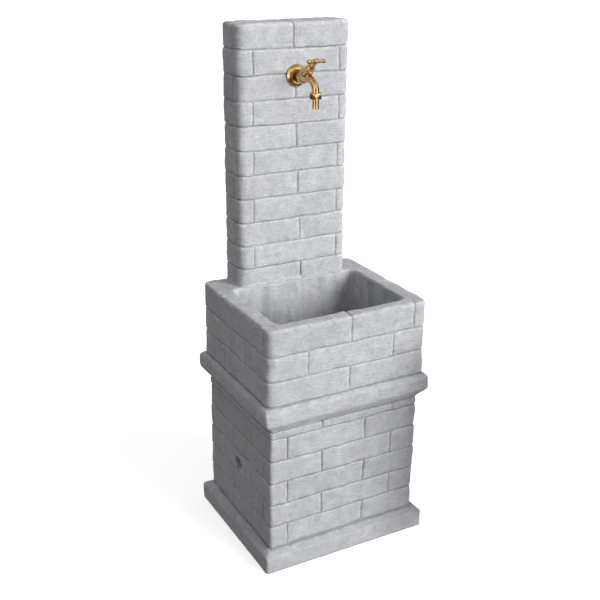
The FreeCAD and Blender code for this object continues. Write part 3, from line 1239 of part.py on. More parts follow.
# ---------------------------------------------------------------- waste outlet
def make_waste():
    """Grate, gaskets, cup, screw, nut and pipe that drain the basin into the ground."""
    gasket_top = "recess_floor + gasket_thickness"
    screw_hole = "waste_screw_radius + screw_clearance"
    ring_inner = "waste_radius - grate_ring"
    grate = turned("waste_grate", [
        (screw_hole, "grate_top - grate_web"), ("grate_dish_radius", "grate_top - grate_web - grate_dish"),
        (ring_inner, gasket_top), ("waste_radius", gasket_top), ("waste_radius", "grate_top - pin_edge"),
        ("waste_radius - pin_edge", "grate_top"), (ring_inner, "grate_top"),
        ("grate_dish_radius", "grate_top - grate_dish"), (screw_hole, "grate_top")])
    slot = sketch_on(grate, "grate_slot_outline", "XY_Plane", "grate_top")
    rectangle(slot, "grate_slot_start", "grate_slot_end", "-grate_slot_width / 2", "grate_slot_width / 2")
    opening = pocket(grate, "grate_slot", slot, "2 * waste_recess")
    around = grate.newObject("PartDesign::PolarPattern", "grate_slots_around")
    around.Originals = [opening]
    around.Axis = (slot, ["N_Axis"])
    around.Angle = 360.0
    around.Occurrences = round(number("grate_slots"))
    grate.Tip = around
    doc.recompute()
    upper = ring("waste_upper_gasket", "gasket_hole_radius", "waste_radius", "recess_floor", gasket_top)
    lower = ring("waste_lower_gasket", "gasket_hole_radius", "waste_radius", "cup_top", "basin_floor_low")
    pipe_stop = "cup_low - cut_overrun"
    cup = turned("waste_cup", [
        ("gasket_hole_radius", "cup_top"), ("waste_radius", "cup_top"),
        ("waste_radius", "cup_top - cup_flange"), ("gasket_hole_radius + cup_wall", "cup_top - cup_flange"),
        ("gasket_hole_radius", "cup_low + cup_shoulder"), ("spigot_radius", "cup_low"),
        ("spigot_radius", "spigot_low"), ("waste_socket_radius", "spigot_low"),
        ("waste_socket_radius", pipe_stop), ("waste_bore_radius", pipe_stop),
        ("waste_bore_radius", "cup_low + cup_wall"),
        ("gasket_hole_radius - cup_wall", "cup_low + cup_ledge")])
    spider = sketch_on(cup, "cup_spider_outline", "XY_Plane", "cup_low + cup_rib_foot")
    rib = "gasket_hole_radius + cut_overrun"
    rectangle(spider, f"-({rib})", rib, "-cup_rib_width / 2", "cup_rib_width / 2")
    pad(cup, "cup_spider", spider, "cup_rib_height")
    boss = sketch_on(cup, "cup_boss_outline", "XY_Plane", "cup_low + cup_ledge")
    circle(boss, "cup_boss_radius")
    pad(cup, "cup_boss", boss, "cup_boss_height")
    tapped = sketch_on(cup, "cup_screw_outline", "XY_Plane", "cup_top")
    circle(tapped, "waste_screw_radius + thread_clearance")
    pocket(cup, "cup_screw_hole", tapped, "cup_flange + cup_depth")
    screw_end = "cup_top - cup_flange - waste_screw_engagement"
    head_top = "grate_top + waste_screw_head_height"
    screw = turned("waste_screw", [
        ("0", screw_end), ("waste_screw_radius - pin_edge", screw_end),
        ("waste_screw_radius", f"{screw_end} + pin_edge"), ("waste_screw_radius", "grate_top"),
        ("waste_screw_head_radius", "grate_top"),
        ("waste_screw_head_radius", f"{head_top} - screw_head_edge"),
        ("waste_screw_head_radius - screw_head_edge", head_top), ("0", head_top)])
    nut_top = "cup_low - waste_nut_edge"
    nut_low = f"{nut_top} - waste_nut_height"
    thread = "spigot_radius + thread_clearance"
    nut = turned("waste_nut", [
        (thread, nut_top), ("waste_nut_radius - waste_nut_edge", nut_top),
        ("waste_nut_radius", f"{nut_top} - waste_nut_edge"),
        ("waste_nut_radius", f"{nut_low} + waste_nut_edge"),
        ("waste_nut_radius - waste_nut_edge", nut_low), ("waste_socket_radius", nut_low),
        ("waste_socket_radius", f"{nut_low} + waste_nut_web"), (thread, f"{nut_low} + waste_nut_web")])
    outside = "waste_pipe_diameter / 2"
    stop_top = "waste_stop_foot + waste_stop_height"
    pipe_top = f"{pipe_stop} - nut_end_gap"
    pipe = turned("waste_pipe", [
        ("waste_bore_radius", "waste_pipe_foot"), (outside, "waste_pipe_foot"), (outside, "waste_stop_foot"),
        ("waste_stop_radius", "waste_stop_foot"), ("waste_stop_radius", stop_top), (outside, stop_top),
        (outside, pipe_top), ("waste_bore_radius", pipe_top)])
    return [on_waste(item) for item in (grate, upper, lower, cup, screw, nut, pipe)]


pieces = [make_pedestal(), make_basin(), make_column()]
pieces += make_beds()
pieces += [make_dowels(), make_riser(), make_elbow()]
pieces += make_fixings()
pieces += make_inlet()
pieces += [make_rosette(), make_tap_body()]
pieces += make_headwork()
pieces += make_valve()
pieces += [make_stem()]
pieces += make_handle()
pieces += make_outlet()
pieces += make_waste()
doc.recompute()

# ---------------------------------------------------------------- checks and export
for item in doc.Objects:
    if "Invalid" in item.State or "Error" in item.State:
        raise RuntimeError(f"{item.Label} did not build: {item.State}")
for piece in pieces:
    if piece.Shape.isNull() or not piece.Shape.isValid():
        raise RuntimeError(f"{piece.Label} has no valid shape")

os.makedirs("parts", exist_ok=True)
for piece in pieces:
    piece.Shape.exportStep(f"parts/{piece.Label}.step")
print(len(pieces), "pieces written")
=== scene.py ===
# %% [markdown]
# # A garden wall fountain in cast stone, with a brass tap
# The fountain is three castings stacked on mortar: a hollow pedestal, a basin and an upright column. A
# brass bib tap reaches out of the column over the basin. The main sizes come from the frame, so that every
# new piece lies where the working model has it.

# %% Load the frame
import json
import math
import random

import bmesh
import bpy
import numpy as np
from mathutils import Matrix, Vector

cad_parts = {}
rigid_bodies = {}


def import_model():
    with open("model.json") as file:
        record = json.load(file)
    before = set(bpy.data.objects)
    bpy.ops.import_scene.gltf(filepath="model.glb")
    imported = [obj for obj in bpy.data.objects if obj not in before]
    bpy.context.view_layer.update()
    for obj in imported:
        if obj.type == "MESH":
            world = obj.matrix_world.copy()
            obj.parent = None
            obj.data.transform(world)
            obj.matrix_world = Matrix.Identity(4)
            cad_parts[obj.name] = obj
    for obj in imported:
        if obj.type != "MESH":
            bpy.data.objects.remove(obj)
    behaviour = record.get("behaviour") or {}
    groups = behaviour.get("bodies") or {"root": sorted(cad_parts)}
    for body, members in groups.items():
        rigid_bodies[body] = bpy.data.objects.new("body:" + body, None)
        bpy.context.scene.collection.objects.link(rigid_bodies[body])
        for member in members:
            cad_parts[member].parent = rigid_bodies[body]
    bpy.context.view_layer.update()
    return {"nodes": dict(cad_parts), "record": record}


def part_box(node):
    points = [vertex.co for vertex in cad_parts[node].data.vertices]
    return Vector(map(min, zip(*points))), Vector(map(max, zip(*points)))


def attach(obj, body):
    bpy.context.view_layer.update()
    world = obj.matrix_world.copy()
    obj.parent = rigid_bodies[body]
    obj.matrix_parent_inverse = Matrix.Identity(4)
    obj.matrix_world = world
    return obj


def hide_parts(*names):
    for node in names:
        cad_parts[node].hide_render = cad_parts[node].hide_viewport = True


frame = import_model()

bpy.ops.object.select_all(action="DESELECT")
MM = 0.001

# %% [markdown]
# ## Where the camera stands
# The view is from the front left, a little above the basin. The lens is a short telephoto, so the upright
# edges stay nearly parallel. The camera is aimed by its azimuth and elevation, and a small roll levels the
# base.

# %% Camera
EYE = Vector((-1.1896, -2.1010, 1.6224))
AZIMUTH = math.radians(-28.71)
ELEVATION = math.radians(21.38)
ROLL = math.radians(0.56)
LENS = 56.58


def direction(azimuth, elevation):
    """The way from the fountain to a place in front of it; azimuth counts from straight ahead."""
    return Vector((math.sin(azimuth) * math.cos(elevation), -math.cos(azimuth) * math.cos(elevation),
                   math.sin(elevation)))


bpy.ops.object.camera_add(location=EYE)
camera = bpy.context.object
camera.rotation_euler = (-direction(AZIMUTH, ELEVATION)).to_track_quat("-Z", "Y").to_euler()
camera.rotation_euler.rotate_axis("Z", ROLL)
camera.data.lens = LENS
camera.data.sensor_width = 36.0
bpy.context.scene.camera = camera
print("lens", camera.data.lens, "mm, distance", round((EYE - Vector((0, 0, 0.67))).length, 2), "m")

# %% [markdown]
# ## Finding and choosing in edit mode
# An operator acts on what is selected. These helpers make a new piece, select by place or by normal, and run
# one modifier at a time, so that each later cell reads like the steps of a modeller.


# %% Helpers for edit mode
def begin(name):
    """An empty piece, active and in edit mode."""
    piece = bpy.data.objects.new(name, bpy.data.meshes.new(name))
    bpy.context.collection.objects.link(piece)
    edit(piece)
    return piece


def pick(kind, test):
    """Selects the faces, edges or verts of the piece being edited for which the test is true."""
    mesh = bpy.context.object.data
    shape = bmesh.from_edit_mesh(mesh)
    mode = {"verts": "VERT", "edges": "EDGE", "faces": "FACE"}[kind]
    bpy.ops.mesh.select_mode(type=mode)
    bpy.ops.mesh.select_all(action="DESELECT")
    chosen = [item for item in getattr(shape, kind) if test(item)]
    for item in chosen:
        item.select_set(True)
    bmesh.update_edit_mesh(mesh)
    return len(chosen)


def done(piece):
    """Leaves edit mode with doubles merged and the faces pointing outwards."""
    bpy.ops.mesh.select_mode(type="VERT")
    bpy.ops.mesh.select_all(action="SELECT")
    bpy.ops.mesh.remove_doubles(threshold=0.01 * MM)
    bpy.ops.mesh.normals_make_consistent(inside=False)
    if bmesh.from_edit_mesh(piece.data).calc_volume(signed=True) < 0:
        bpy.ops.mesh.flip_normals()
    bpy.ops.object.mode_set(mode="OBJECT")
    return piece


def choose(piece):
    """Selects one piece and makes it active."""
    bpy.ops.object.select_all(action="DESELECT")
    bpy.context.view_layer.objects.active = piece
    piece.select_set(True)


def edit(piece):
    """Opens a piece in edit mode."""
    choose(piece)
    bpy.ops.object.mode_set(mode="EDIT")


def shade(piece, angle):
    """Smooth shading, with edges sharper than an angle in degrees left sharp."""
    choose(piece)
    bpy.ops.object.shade_smooth_by_angle(angle=math.radians(angle))


def apply(piece, kind, **settings):
    """Adds one modifier to a piece in object mode, sets it up and applies it."""
    bpy.context.view_layer.objects.active = piece
    modifier = piece.modifiers.new(kind.lower(), kind)
    for name, value in settings.items():
        setattr(modifier, name, value)
    bpy.ops.object.modifier_apply(modifier=modifier.name)


def cut_away(piece, tool):
    """Takes a tool's shape out of a piece, and throws the tool away."""
    apply(piece, "BOOLEAN", operation="DIFFERENCE", object=tool, solver="EXACT")
    bpy.data.objects.remove(tool)


def bar_tool(low, high):
    """A box between two corners, to cut with."""
    low, high = Vector(low), Vector(high)
    bpy.ops.object.select_all(action="DESELECT")
    bpy.ops.mesh.primitive_cube_add(size=1.0, location=(low + high) / 2, scale=high - low)
    return bpy.context.object


def round_tool(radius, length, middle, turn=(0.0, 0.0, 0.0), sides=48):
    """A cylinder to cut with."""
    bpy.ops.object.select_all(action="DESELECT")
    bpy.ops.mesh.primitive_cylinder_add(vertices=sides, radius=radius, depth=length, location=middle,
                                        rotation=turn)
    return bpy.context.object


# %% [markdown]
# ## Castings from rounded outlines
# Each casting is a stack of level outlines. An outline is a plane whose corners are bevelled round. Its
# face is deleted, and the loop that is left is bridged to the next one. That makes walls, slopes, rims and
# hollows with matching corners, and no edge that has to be mended later.

# %% Outlines and walls
CORNER_STEPS = 5


def outline(level, width, depth, corner, middle=0.0, back_corner=None, filled=False):
    """A rounded rectangle lying at a level, as a loop or, filled, as a face."""
    bpy.ops.mesh.select_mode(type="VERT")
    bpy.ops.mesh.select_all(action="DESELECT")
    bpy.ops.mesh.primitive_plane_add(size=1.0, location=(0.0, middle, level))
    bpy.ops.transform.resize(value=(width, depth, 1.0), center_override=(0.0, middle, level))
    for side, radius in ((-1, corner), (1, back_corner or corner)):
        bpy.ops.mesh.select_linked()
        mesh = bpy.context.object.data
        for vertex in bmesh.from_edit_mesh(mesh).verts:
            if vertex.select:
                vertex.select_set(abs(vertex.co.y - middle - side * depth / 2) < 1e-6
                                  and abs(abs(vertex.co.x) - width / 2) < 1e-6)
        bmesh.update_edit_mesh(mesh)
        bpy.ops.mesh.bevel(offset=radius, segments=CORNER_STEPS, affect="VERTICES")
    bpy.ops.mesh.select_linked()
    if not filled:
        bpy.ops.mesh.select_mode(type="FACE")
        bpy.ops.mesh.delete(type="ONLY_FACE")


def stack(rows):
    """Walls through a list of outlines; each wall joins two neighbouring rows."""
    for lower, upper in zip(rows, rows[1:]):
        outline(*lower)
        outline(*upper)
        pick("edges", lambda edge: edge.is_wire)
        bpy.ops.mesh.bridge_edge_loops()


# %% [markdown]
# ## Where the joints run
# The brick pattern is pressed into the wet concrete by the mould, so it is one skin with grooves, not single
# bricks. A small class knows where the joints of one casting lie. It tells how far a point is from the
# nearest joint and which brick it belongs to, so that the grooves, the proud bricks and the finish agree.


# %% The brick pattern of a casting
class Bricks:
    """The walls of one casting and the joints pressed into them; courses are counted from the top."""

    MARGIN = 12 * MM
    BED_REACH = 8 * MM
    JOINT_REACH = 5 * MM
    FAR = 1.0

    def __init__(self, seed, low, high, foot, beds, front, side, plain_back=False, over_top=()):
        self.seed = seed
        self.low = low
        self.high = high
        self.foot = foot
        self.beds = beds
        self.front = front
        self.side = side
        self.plain_back = plain_back
        self.over_top = over_top

    def courses(self):
        """The low and high level of each course, from the top down."""
        return list(zip(self.beds + [self.foot], [self.high.z + MM] + self.beds))

    def faces(self, points):
        """Which points lie on the front, back, left and right wall."""
        x, y, z = points.T
        brickwork = z > self.foot - MM
        return {"front": brickwork & (y < self.low.y + self.MARGIN),
                "back": brickwork & (y > self.high.y - self.MARGIN),
                "left": brickwork & (x < self.low.x + self.MARGIN),
                "right": brickwork & (x > self.high.x - self.MARGIN)}

    def joints(self, course, face):
        """Where the upright joints of a course lie along one wall."""
        return self.side(course) if face in ("left", "right") else self.front(course)

    def behind(self, points):
        """How far every point lies behind the plane of each wall; the foot of a casting has no wall."""
        x, y, z = points.T
        foot = np.where(z > self.foot - self.BED_REACH, 0.0, self.FAR)
        return {"front": y - self.low.y + foot,
                "left": x - self.low.x + foot,
                "right": self.high.x - x + foot,
                "back": self.high.y - y + foot + (self.FAR if self.plain_back else 0.0)}

    def distance(self, points):
        """Distance of every point to the nearest joint; a joint runs out where the wall curves away."""
        x, y, z = points.T
        behind = self.behind(points)
        least = np.minimum.reduce(list(behind.values()))
        nearest = np.full(len(z), self.FAR)
        for bed in self.beds + [self.foot]:
            nearest = np.minimum(nearest, np.maximum(np.abs(z - bed), least - self.BED_REACH))
        for course, (low, high) in enumerate(self.courses()):
            inside = (z > low) & (z < high)
            for face, depth in behind.items():
                along = y if face in ("left", "right") else x
                for joint in self.joints(course, face):
                    apart = np.maximum(np.abs(along - joint), depth - self.JOINT_REACH)
                    nearest = np.where(inside, np.minimum(nearest, apart), nearest)
        for joint, start, end in self.over_top:
            inside = (z > self.high.z - self.MARGIN) & (y > start) & (y < end)
            nearest = np.where(inside, np.minimum(nearest, np.abs(x - joint)), nearest)
        return np.maximum(nearest, 0.0)

    def scatter(self, points, what):
        """A seeded random number from 0 to 1 for the brick that each point belongs to."""
        x, y, z = points.T
        values = np.full(len(z), 0.5)
        for course, (low, high) in enumerate(self.courses()):
            level = (z > low) & (z <= high)
            for face, on_face in self.faces(points).items():
                along = y if face in ("left", "right") else x
                edges = [-9.0] + list(self.joints(course, face)) + [9.0]
                for index, (start, end) in enumerate(zip(edges, edges[1:])):
                    inside = level & on_face & (along > start) & (along <= end)
                    name = self.corner_name(face, index, len(edges) - 2) or f"{face}{index}"
                    values[inside] = random.Random(f"{self.seed}{what}{course}{name}").random()
        return values

    @staticmethod
    def corner_name(face, index, last):
        """A brick at a corner belongs to two walls, so both give it one name."""
        ends = {"front": ("front left", "front right"), "back": ("back left", "back right"),
                "left": ("front left", "back left"), "right": ("front right", "back right")}[face]
        if index == 0:
            return ends[0]
        return ends[1] if index == last else None


# %% [markdown]
# ## A mesh that follows the joints
# The walls are cut by planes: close together across a joint, wider apart on the bricks. The grooves are then
# pushed in by a Displace modifier whose vertex group fades away from the joint line. Further Displace
# modifiers set each brick a little proud, make the lines waver and leave the faces uneven.

# %% Cutting lines and grooves
ACROSS_JOINT = [-7.0, -4.6, -2.8, -1.2, 1.2, 2.8, 4.6, 7.0]
MESH_SPACING = 6.8 * MM
CLOSEST_LINES = 1.1 * MM
JOINT_DEPTH = 3.8 * MM
BRICK_PROUD = 1.6 * MM
WAVES = 8


def lines(low, high, joints=()):
    """Places between low and high where the mesh is cut."""
    fine = sorted(joint + offset * MM for joint in joints for offset in ACROSS_JOINT)
    kept = [low]
    for mark in [mark for mark in fine if low + CLOSEST_LINES < mark < high - CLOSEST_LINES] + [high]:
        gap = mark - kept[-1]
        if gap < CLOSEST_LINES:
            continue
        steps = int(gap / MESH_SPACING) + 1
        kept += [kept[-1] + gap * (step + 1) / steps for step in range(steps)]
    return kept[1:-1]


def slice_up(axis, places):
    """Cuts the whole piece by planes across one axis."""
    normal = [0.0, 0.0, 0.0]
    normal[axis] = 1.0
    bpy.ops.mesh.select_mode(type="VERT")
    for place in places:
        bpy.ops.mesh.select_all(action="SELECT")
        point = [0.0, 0.0, 0.0]
        point[axis] = place
        bpy.ops.mesh.bisect(plane_co=point, plane_no=normal, threshold=1e-6)


def points_of(piece, what="co"):
    """The place, or the normal, of every vertex as the rows of an array."""
    values = np.empty(len(piece.data.vertices) * 3)
    piece.data.vertices.foreach_get(what, values)
    return values.reshape(-1, 3)


def paint(piece, name, values):
    """Keeps one number for each vertex, for the finish to read."""
    attribute = piece.data.attributes.new(name, "FLOAT", "POINT")
    attribute.data.foreach_set("value", values.astype(np.float32))


def weigh(piece, name, values):
    """A vertex group with one weight for each vertex."""
    group = piece.vertex_groups.new(name=name)
    for index, value in enumerate(values.tolist()):
        if value > 0.001:
            group.add([index], min(value, 1.0), "REPLACE")


def smoothstep(low, high, values):
    """0 below low, 1 above high and a smooth rise between them."""
    share = np.clip((values - low) / (high - low), 0, 1)
    return share * share * (3 - 2 * share)


def ripple(points, length, seed):
    """A smooth random number of about -1 to 1 at every point, which changes over a length."""
    source = random.Random(seed)
    total = np.zeros(len(points))
    for _ in range(WAVES):
        way = np.array([source.gauss(0, 1) for _ in range(3)]) * math.pi / length
        total += np.sin(points @ way + source.uniform(0, 2 * math.pi))
    return total / math.sqrt(2 * WAVES)


def clouds(name, scale, depth=2, colour=False):
    """A cloud texture for a Displace modifier; a coloured one pushes each axis by itself."""
    texture = bpy.data.textures.new(name, "CLOUDS")
    texture.noise_scale = scale
    texture.noise_depth = depth
    texture.cloud_type = "COLOR" if colour else "GRAYSCALE"
    return texture


UNEVEN = clouds("uneven faces", 26 * MM)
ROUGH = clouds("rough grain", 9 * MM)
WAVER = clouds("wavering lines", 60 * MM, 1, True)
SKIN = {"mid_level": 0.5, "vertex_group": "skin", "texture_coords": "LOCAL"}
STONE_SMOOTH = 55


def groove_and_age(piece, bricks, grime, still):
    """Presses the joints into a casting and makes its faces uneven; still marks the points that stay put."""
    points = points_of(piece)
    apart = bricks.distance(points)
    worn = apart + 0.7 * MM * ripple(points, 16 * MM, bricks.seed + "worn")
    groove = 1 - smoothstep(0.9 * MM, 3.9 * MM, worn)
    shoulder = 1 - smoothstep(2 * MM, 9 * MM, worn)
    pressed = np.clip(0.78 + 0.3 * ripple(points, 45 * MM, bricks.seed + "pressed"), 0.3, 1.1)
    moving = 1.0 - still(points)
    proud = bricks.scatter(points, "proud")
    brickwork = sum(bricks.faces(points).values()) > 0
    weigh(piece, "joints", pressed * (0.76 * groove + 0.24 * shoulder))
    weigh(piece, "bricks", np.where(brickwork, proud, 0.0) * moving)
    weigh(piece, "skin", moving)
    paint(piece, "from_joint", np.clip(apart / bricks.MARGIN, 0, 1))
    paint(piece, "brick_tone", bricks.scatter(points, "tone"))
    paint(piece, "pressed", pressed)
    # grime is painted shade: the whole casting is drawn darker, the pedestal most, the basin less, the
    # column not at all.
    paint(piece, "grime", np.full(len(points), grime))
    apply(piece, "DISPLACE", strength=-JOINT_DEPTH, mid_level=0.0, vertex_group="joints")
    apply(piece, "DISPLACE", strength=BRICK_PROUD, mid_level=0.0, vertex_group="bricks")
    apply(piece, "DISPLACE", strength=2.8 * MM, texture=UNEVEN, **SKIN)
    apply(piece, "DISPLACE", strength=1.3 * MM, texture=ROUGH, **SKIN)
    apply(piece, "DISPLACE", strength=4.5 * MM, texture=WAVER, direction="RGB_TO_XYZ", space="LOCAL", **SKIN)
    piece.vertex_groups.clear()
    # The arris number drives the painted highlight on edges and the painted shade in hollows of the finish.
    paint(piece, "arris", ridges(piece))
    shade(piece, STONE_SMOOTH)
    print(piece.name, len(points), "points,", round(float((groove > 0.5).mean()), 3), "of them in joints")


def ridges(piece):
    """How far each point stands out from its neighbours: above 0 on an edge, below 0 in a hollow."""
    points = points_of(piece)
    normals = points_of(piece, "normal")
    ends = np.empty(len(piece.data.edges) * 2, int)
    piece.data.edges.foreach_get("vertices", ends)
    ends = ends.reshape(-1, 2)
    total = np.zeros(len(points))
    count = np.zeros(len(points))
    for near, far in ((0, 1), (1, 0)):
        step = points[ends[:, far]] - points[ends[:, near]]
        rise = (step * normals[ends[:, near]]).sum(1) / np.maximum(np.linalg.norm(step, axis=1), 1e-9)
        np.add.at(total, ends[:, near], -rise)
        np.add.at(count, ends[:, near], 1)
    value = total / np.maximum(count, 1)
    spread = np.zeros(len(points))
    for near, far in ((0, 1), (1, 0)):
        np.add.at(spread, ends[:, near], value[ends[:, far]])
    return 0.5 * value + 0.5 * spread / np.maximum(count, 1)


def soften(level, offset, steps=3, where=lambda edge: True):
    """Bevels the edges that lie at a level and bound a wall or a slope."""
    pick("edges", lambda edge: all(abs(v.co.z - level) < 0.01 * MM for v in edge.verts) and where(edge)
         and any(abs(face.normal.z) < 0.95 for face in edge.link_faces))
    bpy.ops.mesh.bevel(offset=offset, segments=steps, affect="EDGES")


def close_up(piece):
    """Tidies a piece after a cut: faces with more than four corners become triangles."""
    edit(piece)
    pick("faces", lambda face: len(face.verts) > 4)
    bpy.ops.mesh.quads_convert_to_tris()
    done(piece)


# %% [markdown]
# ## The pedestal
# A hollow block, a little wider than deep, with a plinth, six courses of brick and a pipe hole in each side.
# The top course is only a sliver, cut off where the mould ends. The hollow is open below, so that the waste
# pipe can drop through.

# %% Pedestal
PEDESTAL_LOW, PEDESTAL_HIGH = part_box("pedestal_block")
PLINTH_OVERHANG = 23 * MM
PLINTH_HEIGHT = 47 * MM
PLINTH_TOP = 62.5 * MM
WALL = 30 * MM
COURSE = 66.2 * MM
PIPE_HOLE = Vector((0.0, 4 * MM, 224 * MM))
PIPE_HOLE_RADIUS = 22.5 * MM

base_width, base_depth, pedestal_top = PEDESTAL_HIGH - PEDESTAL_LOW
width = base_width - 2 * PLINTH_OVERHANG
depth = base_depth - 2 * PLINTH_OVERHANG
pedestal_bricks = Bricks(
    "pedestal", Vector((-width / 2, -depth / 2, 0.0)), Vector((width / 2, depth / 2, pedestal_top)),
    PLINTH_TOP,
    [pedestal_top - 21 * MM - row * COURSE for row in range(5)],
    lambda course: (-0.178, 0.060) if course % 2 else (-0.073, 0.147),
    lambda course: ((-0.148, 0.040) if course % 2 == 0 else (-0.075,)) if course else ())


def beyond_wall(point):
    """How far a point stands out past the outer wall, in x or in y."""
    return max(abs(point.x) - width / 2, abs(point.y) - depth / 2)


pedestal = begin("pedestal")
base = (base_width, base_depth, 8 * MM)
wall = (width, depth, 9 * MM)
hollow = (width - 2 * WALL, depth - 2 * WALL, 22 * MM)
stack([(0.0, *base), (PLINTH_HEIGHT, *base), (PLINTH_TOP, *wall), (pedestal_top, *wall),
       (pedestal_top, *hollow), (0.0, *hollow), (0.0, *base)])
done(pedestal)
edit(pedestal)
soften(PLINTH_HEIGHT, 4 * MM)
soften(0.0, 2 * MM, 2, lambda edge: beyond_wall(edge.verts[0].co) > 0)
soften(pedestal_top, 4 * MM, 3, lambda edge: beyond_wall(edge.verts[0].co) > -5 * MM)
slice_up(0, lines(-width / 2 + 9 * MM, width / 2 - 9 * MM, (-0.178, -0.073, 0.060, 0.147)))
slice_up(1, lines(-depth / 2 + 9 * MM, depth / 2 - 9 * MM, (-0.148, -0.075, 0.040)))
slice_up(2, lines(0.0, PLINTH_TOP)
         + lines(PLINTH_TOP - 6 * MM, pedestal_top - 4 * MM, pedestal_bricks.beds + [PLINTH_TOP]))
done(pedestal)
cut_away(pedestal, round_tool(PIPE_HOLE_RADIUS, 2 * base_width, PIPE_HOLE, (0, math.pi / 2, 0)))
close_up(pedestal)
groove_and_age(pedestal, pedestal_bricks, 1.0,
               lambda points: (points[:, 2] < 2 * MM) | (points[:, 2] > pedestal_top - MM))

# %% [markdown]
# ## The basin
# The basin has a ledge round its foot that slopes under and over, three courses of brick and a rounded rim.
# Its outlines run up the outside, over the rim and down into the hollow, and end in a filled floor. The
# recess below is as wide as the pedestal's hollow. The drain and the chase are cut out afterwards.

# %% Basin
BASIN_LOW, BASIN_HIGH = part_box("basin_block")
LEDGE_UNDER = 29 * MM
LEDGE_FACE = 35 * MM
LEDGE_SLOPE = 12.5 * MM
SETBACK = 13 * MM
BASIN_CORNER = 20 * MM
SIDE_WALL = 43 * MM
FRONT_WALL = 40 * MM
HOLLOW_DEPTH = 195 * MM
FLOOR = 45 * MM
DRAFT = math.tan(math.radians(2.0))
COLUMN_LOW, COLUMN_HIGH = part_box("column_block")

ledge_width, ledge_depth = BASIN_HIGH.x - BASIN_LOW.x, BASIN_HIGH.y - BASIN_LOW.y
basin_foot, rim = BASIN_LOW.z, BASIN_HIGH.z
brick_foot = basin_foot + LEDGE_UNDER + LEDGE_FACE + LEDGE_SLOPE
basin_width, basin_length = ledge_width - 2 * SETBACK, ledge_depth - 2 * SETBACK
opening_front = -basin_length / 2 + FRONT_WALL
opening_back = COLUMN_LOW.y
opening_width = basin_width - 2 * SIDE_WALL
opening_length = opening_back - opening_front
opening_middle = (opening_front + opening_back) / 2
basin_floor = rim - HOLLOW_DEPTH
RIM_NOTCH = 0.004
basin_bricks = Bricks(
    "basin", Vector((-basin_width / 2, -basin_length / 2, basin_foot)),
    Vector((basin_width / 2, basin_length / 2, rim)), brick_foot, [rim - 72 * MM, rim - 140.2 * MM],
    lambda course: ((RIM_NOTCH, 0.198), (-0.125, 0.134), (0.0,))[course],
    lambda course: ((-0.175, 0.070), (-0.070, -0.010), (-0.161, 0.064))[course],
    over_top=[(RIM_NOTCH, -1.0, opening_front + 2 * MM)])

basin = begin("basin")
ledge = (ledge_width, ledge_depth, 8 * MM)
body = (basin_width, basin_length, BASIN_CORNER)
opening = (opening_width, opening_length, 26 * MM, opening_middle)
inset = 2 * HOLLOW_DEPTH * DRAFT
bottom = (opening_width - inset, opening_length - inset, 20 * MM, opening_middle)
stack([(basin_foot, *hollow), (basin_foot, *wall), (basin_foot + LEDGE_UNDER, *ledge),
       (basin_foot + LEDGE_UNDER + LEDGE_FACE, *ledge), (brick_foot, *body), (rim, *body), (rim, *opening),
       (basin_floor, *bottom)])
outline(basin_floor, *bottom, filled=True)
stack([(basin_foot, *hollow), (basin_floor - FLOOR, *hollow)])
outline(basin_floor - FLOOR, *hollow, filled=True)
done(basin)
edit(basin)
soften(basin_foot + LEDGE_UNDER, 5 * MM)
soften(basin_foot + LEDGE_UNDER + LEDGE_FACE, 6 * MM)
soften(rim, 8 * MM, 4)
soften(basin_floor, 12 * MM, 3)
slice_up(0, lines(-basin_width / 2 + BASIN_CORNER, basin_width / 2 - BASIN_CORNER,
                  (RIM_NOTCH, 0.198, -0.125, 0.134)))
slice_up(1, lines(-basin_length / 2 + BASIN_CORNER, basin_length / 2 - BASIN_CORNER,
                  (-0.175, 0.067, -0.070, -0.010, -0.161)))
slice_up(2, lines(basin_foot, brick_foot)
         + lines(brick_foot - 6 * MM, rim - 8 * MM, basin_bricks.beds + [brick_foot]))
done(basin)

DRAIN = Vector((0.0, opening_middle, basin_floor))
DRAIN_RADIUS = 29 * MM
FLANGE_RADIUS = 38 * MM
FLANGE_SINK = 5 * MM
CHASE_MIDDLE = 3 * MM
CHASE_WIDTH = 34 * MM
CHASE_FACE = COLUMN_LOW.y + 24 * MM


def cut_chase(piece, low, high):
    """Cuts the channel of the supply pipe into the back of a piece, from one level to another."""
    cut_away(piece, bar_tool((CHASE_MIDDLE - CHASE_WIDTH / 2, CHASE_FACE, low),
                             (CHASE_MIDDLE + CHASE_WIDTH / 2, 2 * ledge_depth, high)))


cut_away(basin, round_tool(DRAIN_RADIUS, 3 * FLOOR, DRAIN, sides=64))
cut_away(basin, round_tool(FLANGE_RADIUS, 2 * FLANGE_SINK, DRAIN, sides=64))
cut_chase(basin, basin_foot - FLOOR, rim + FLOOR)
close_up(basin)
groove_and_age(basin, basin_bricks, 0.4,
               lambda points: (points[:, 2] < basin_foot + MM)
               | ((points[:, 2] > rim - MM) & (points[:, 1] > COLUMN_LOW.y)))

# %% Inside of the basin, for the finish
# The inside mask lets the finish add drip stains and painted shade deep in the basin.
points = points_of(basin)
within = ((np.abs(points[:, 0]) < opening_width / 2 + 2 * MM) & (points[:, 1] > opening_front - 2 * MM)
          & (points[:, 1] < opening_back + 2 * MM) & (points[:, 2] > basin_floor - MM))
paint(basin, "inside", np.where(within, smoothstep(0, 12 * MM, rim - points[:, 2]), 0.0))

# %% [markdown]
# ## The column
# The column is a thin slab with large round front corners and a flat back. Its middle joint steps a little
# to the right from course to course, as if it had been laid by eye. A chase for the supply pipe runs up the
# back and ends in a pocket behind the tap.

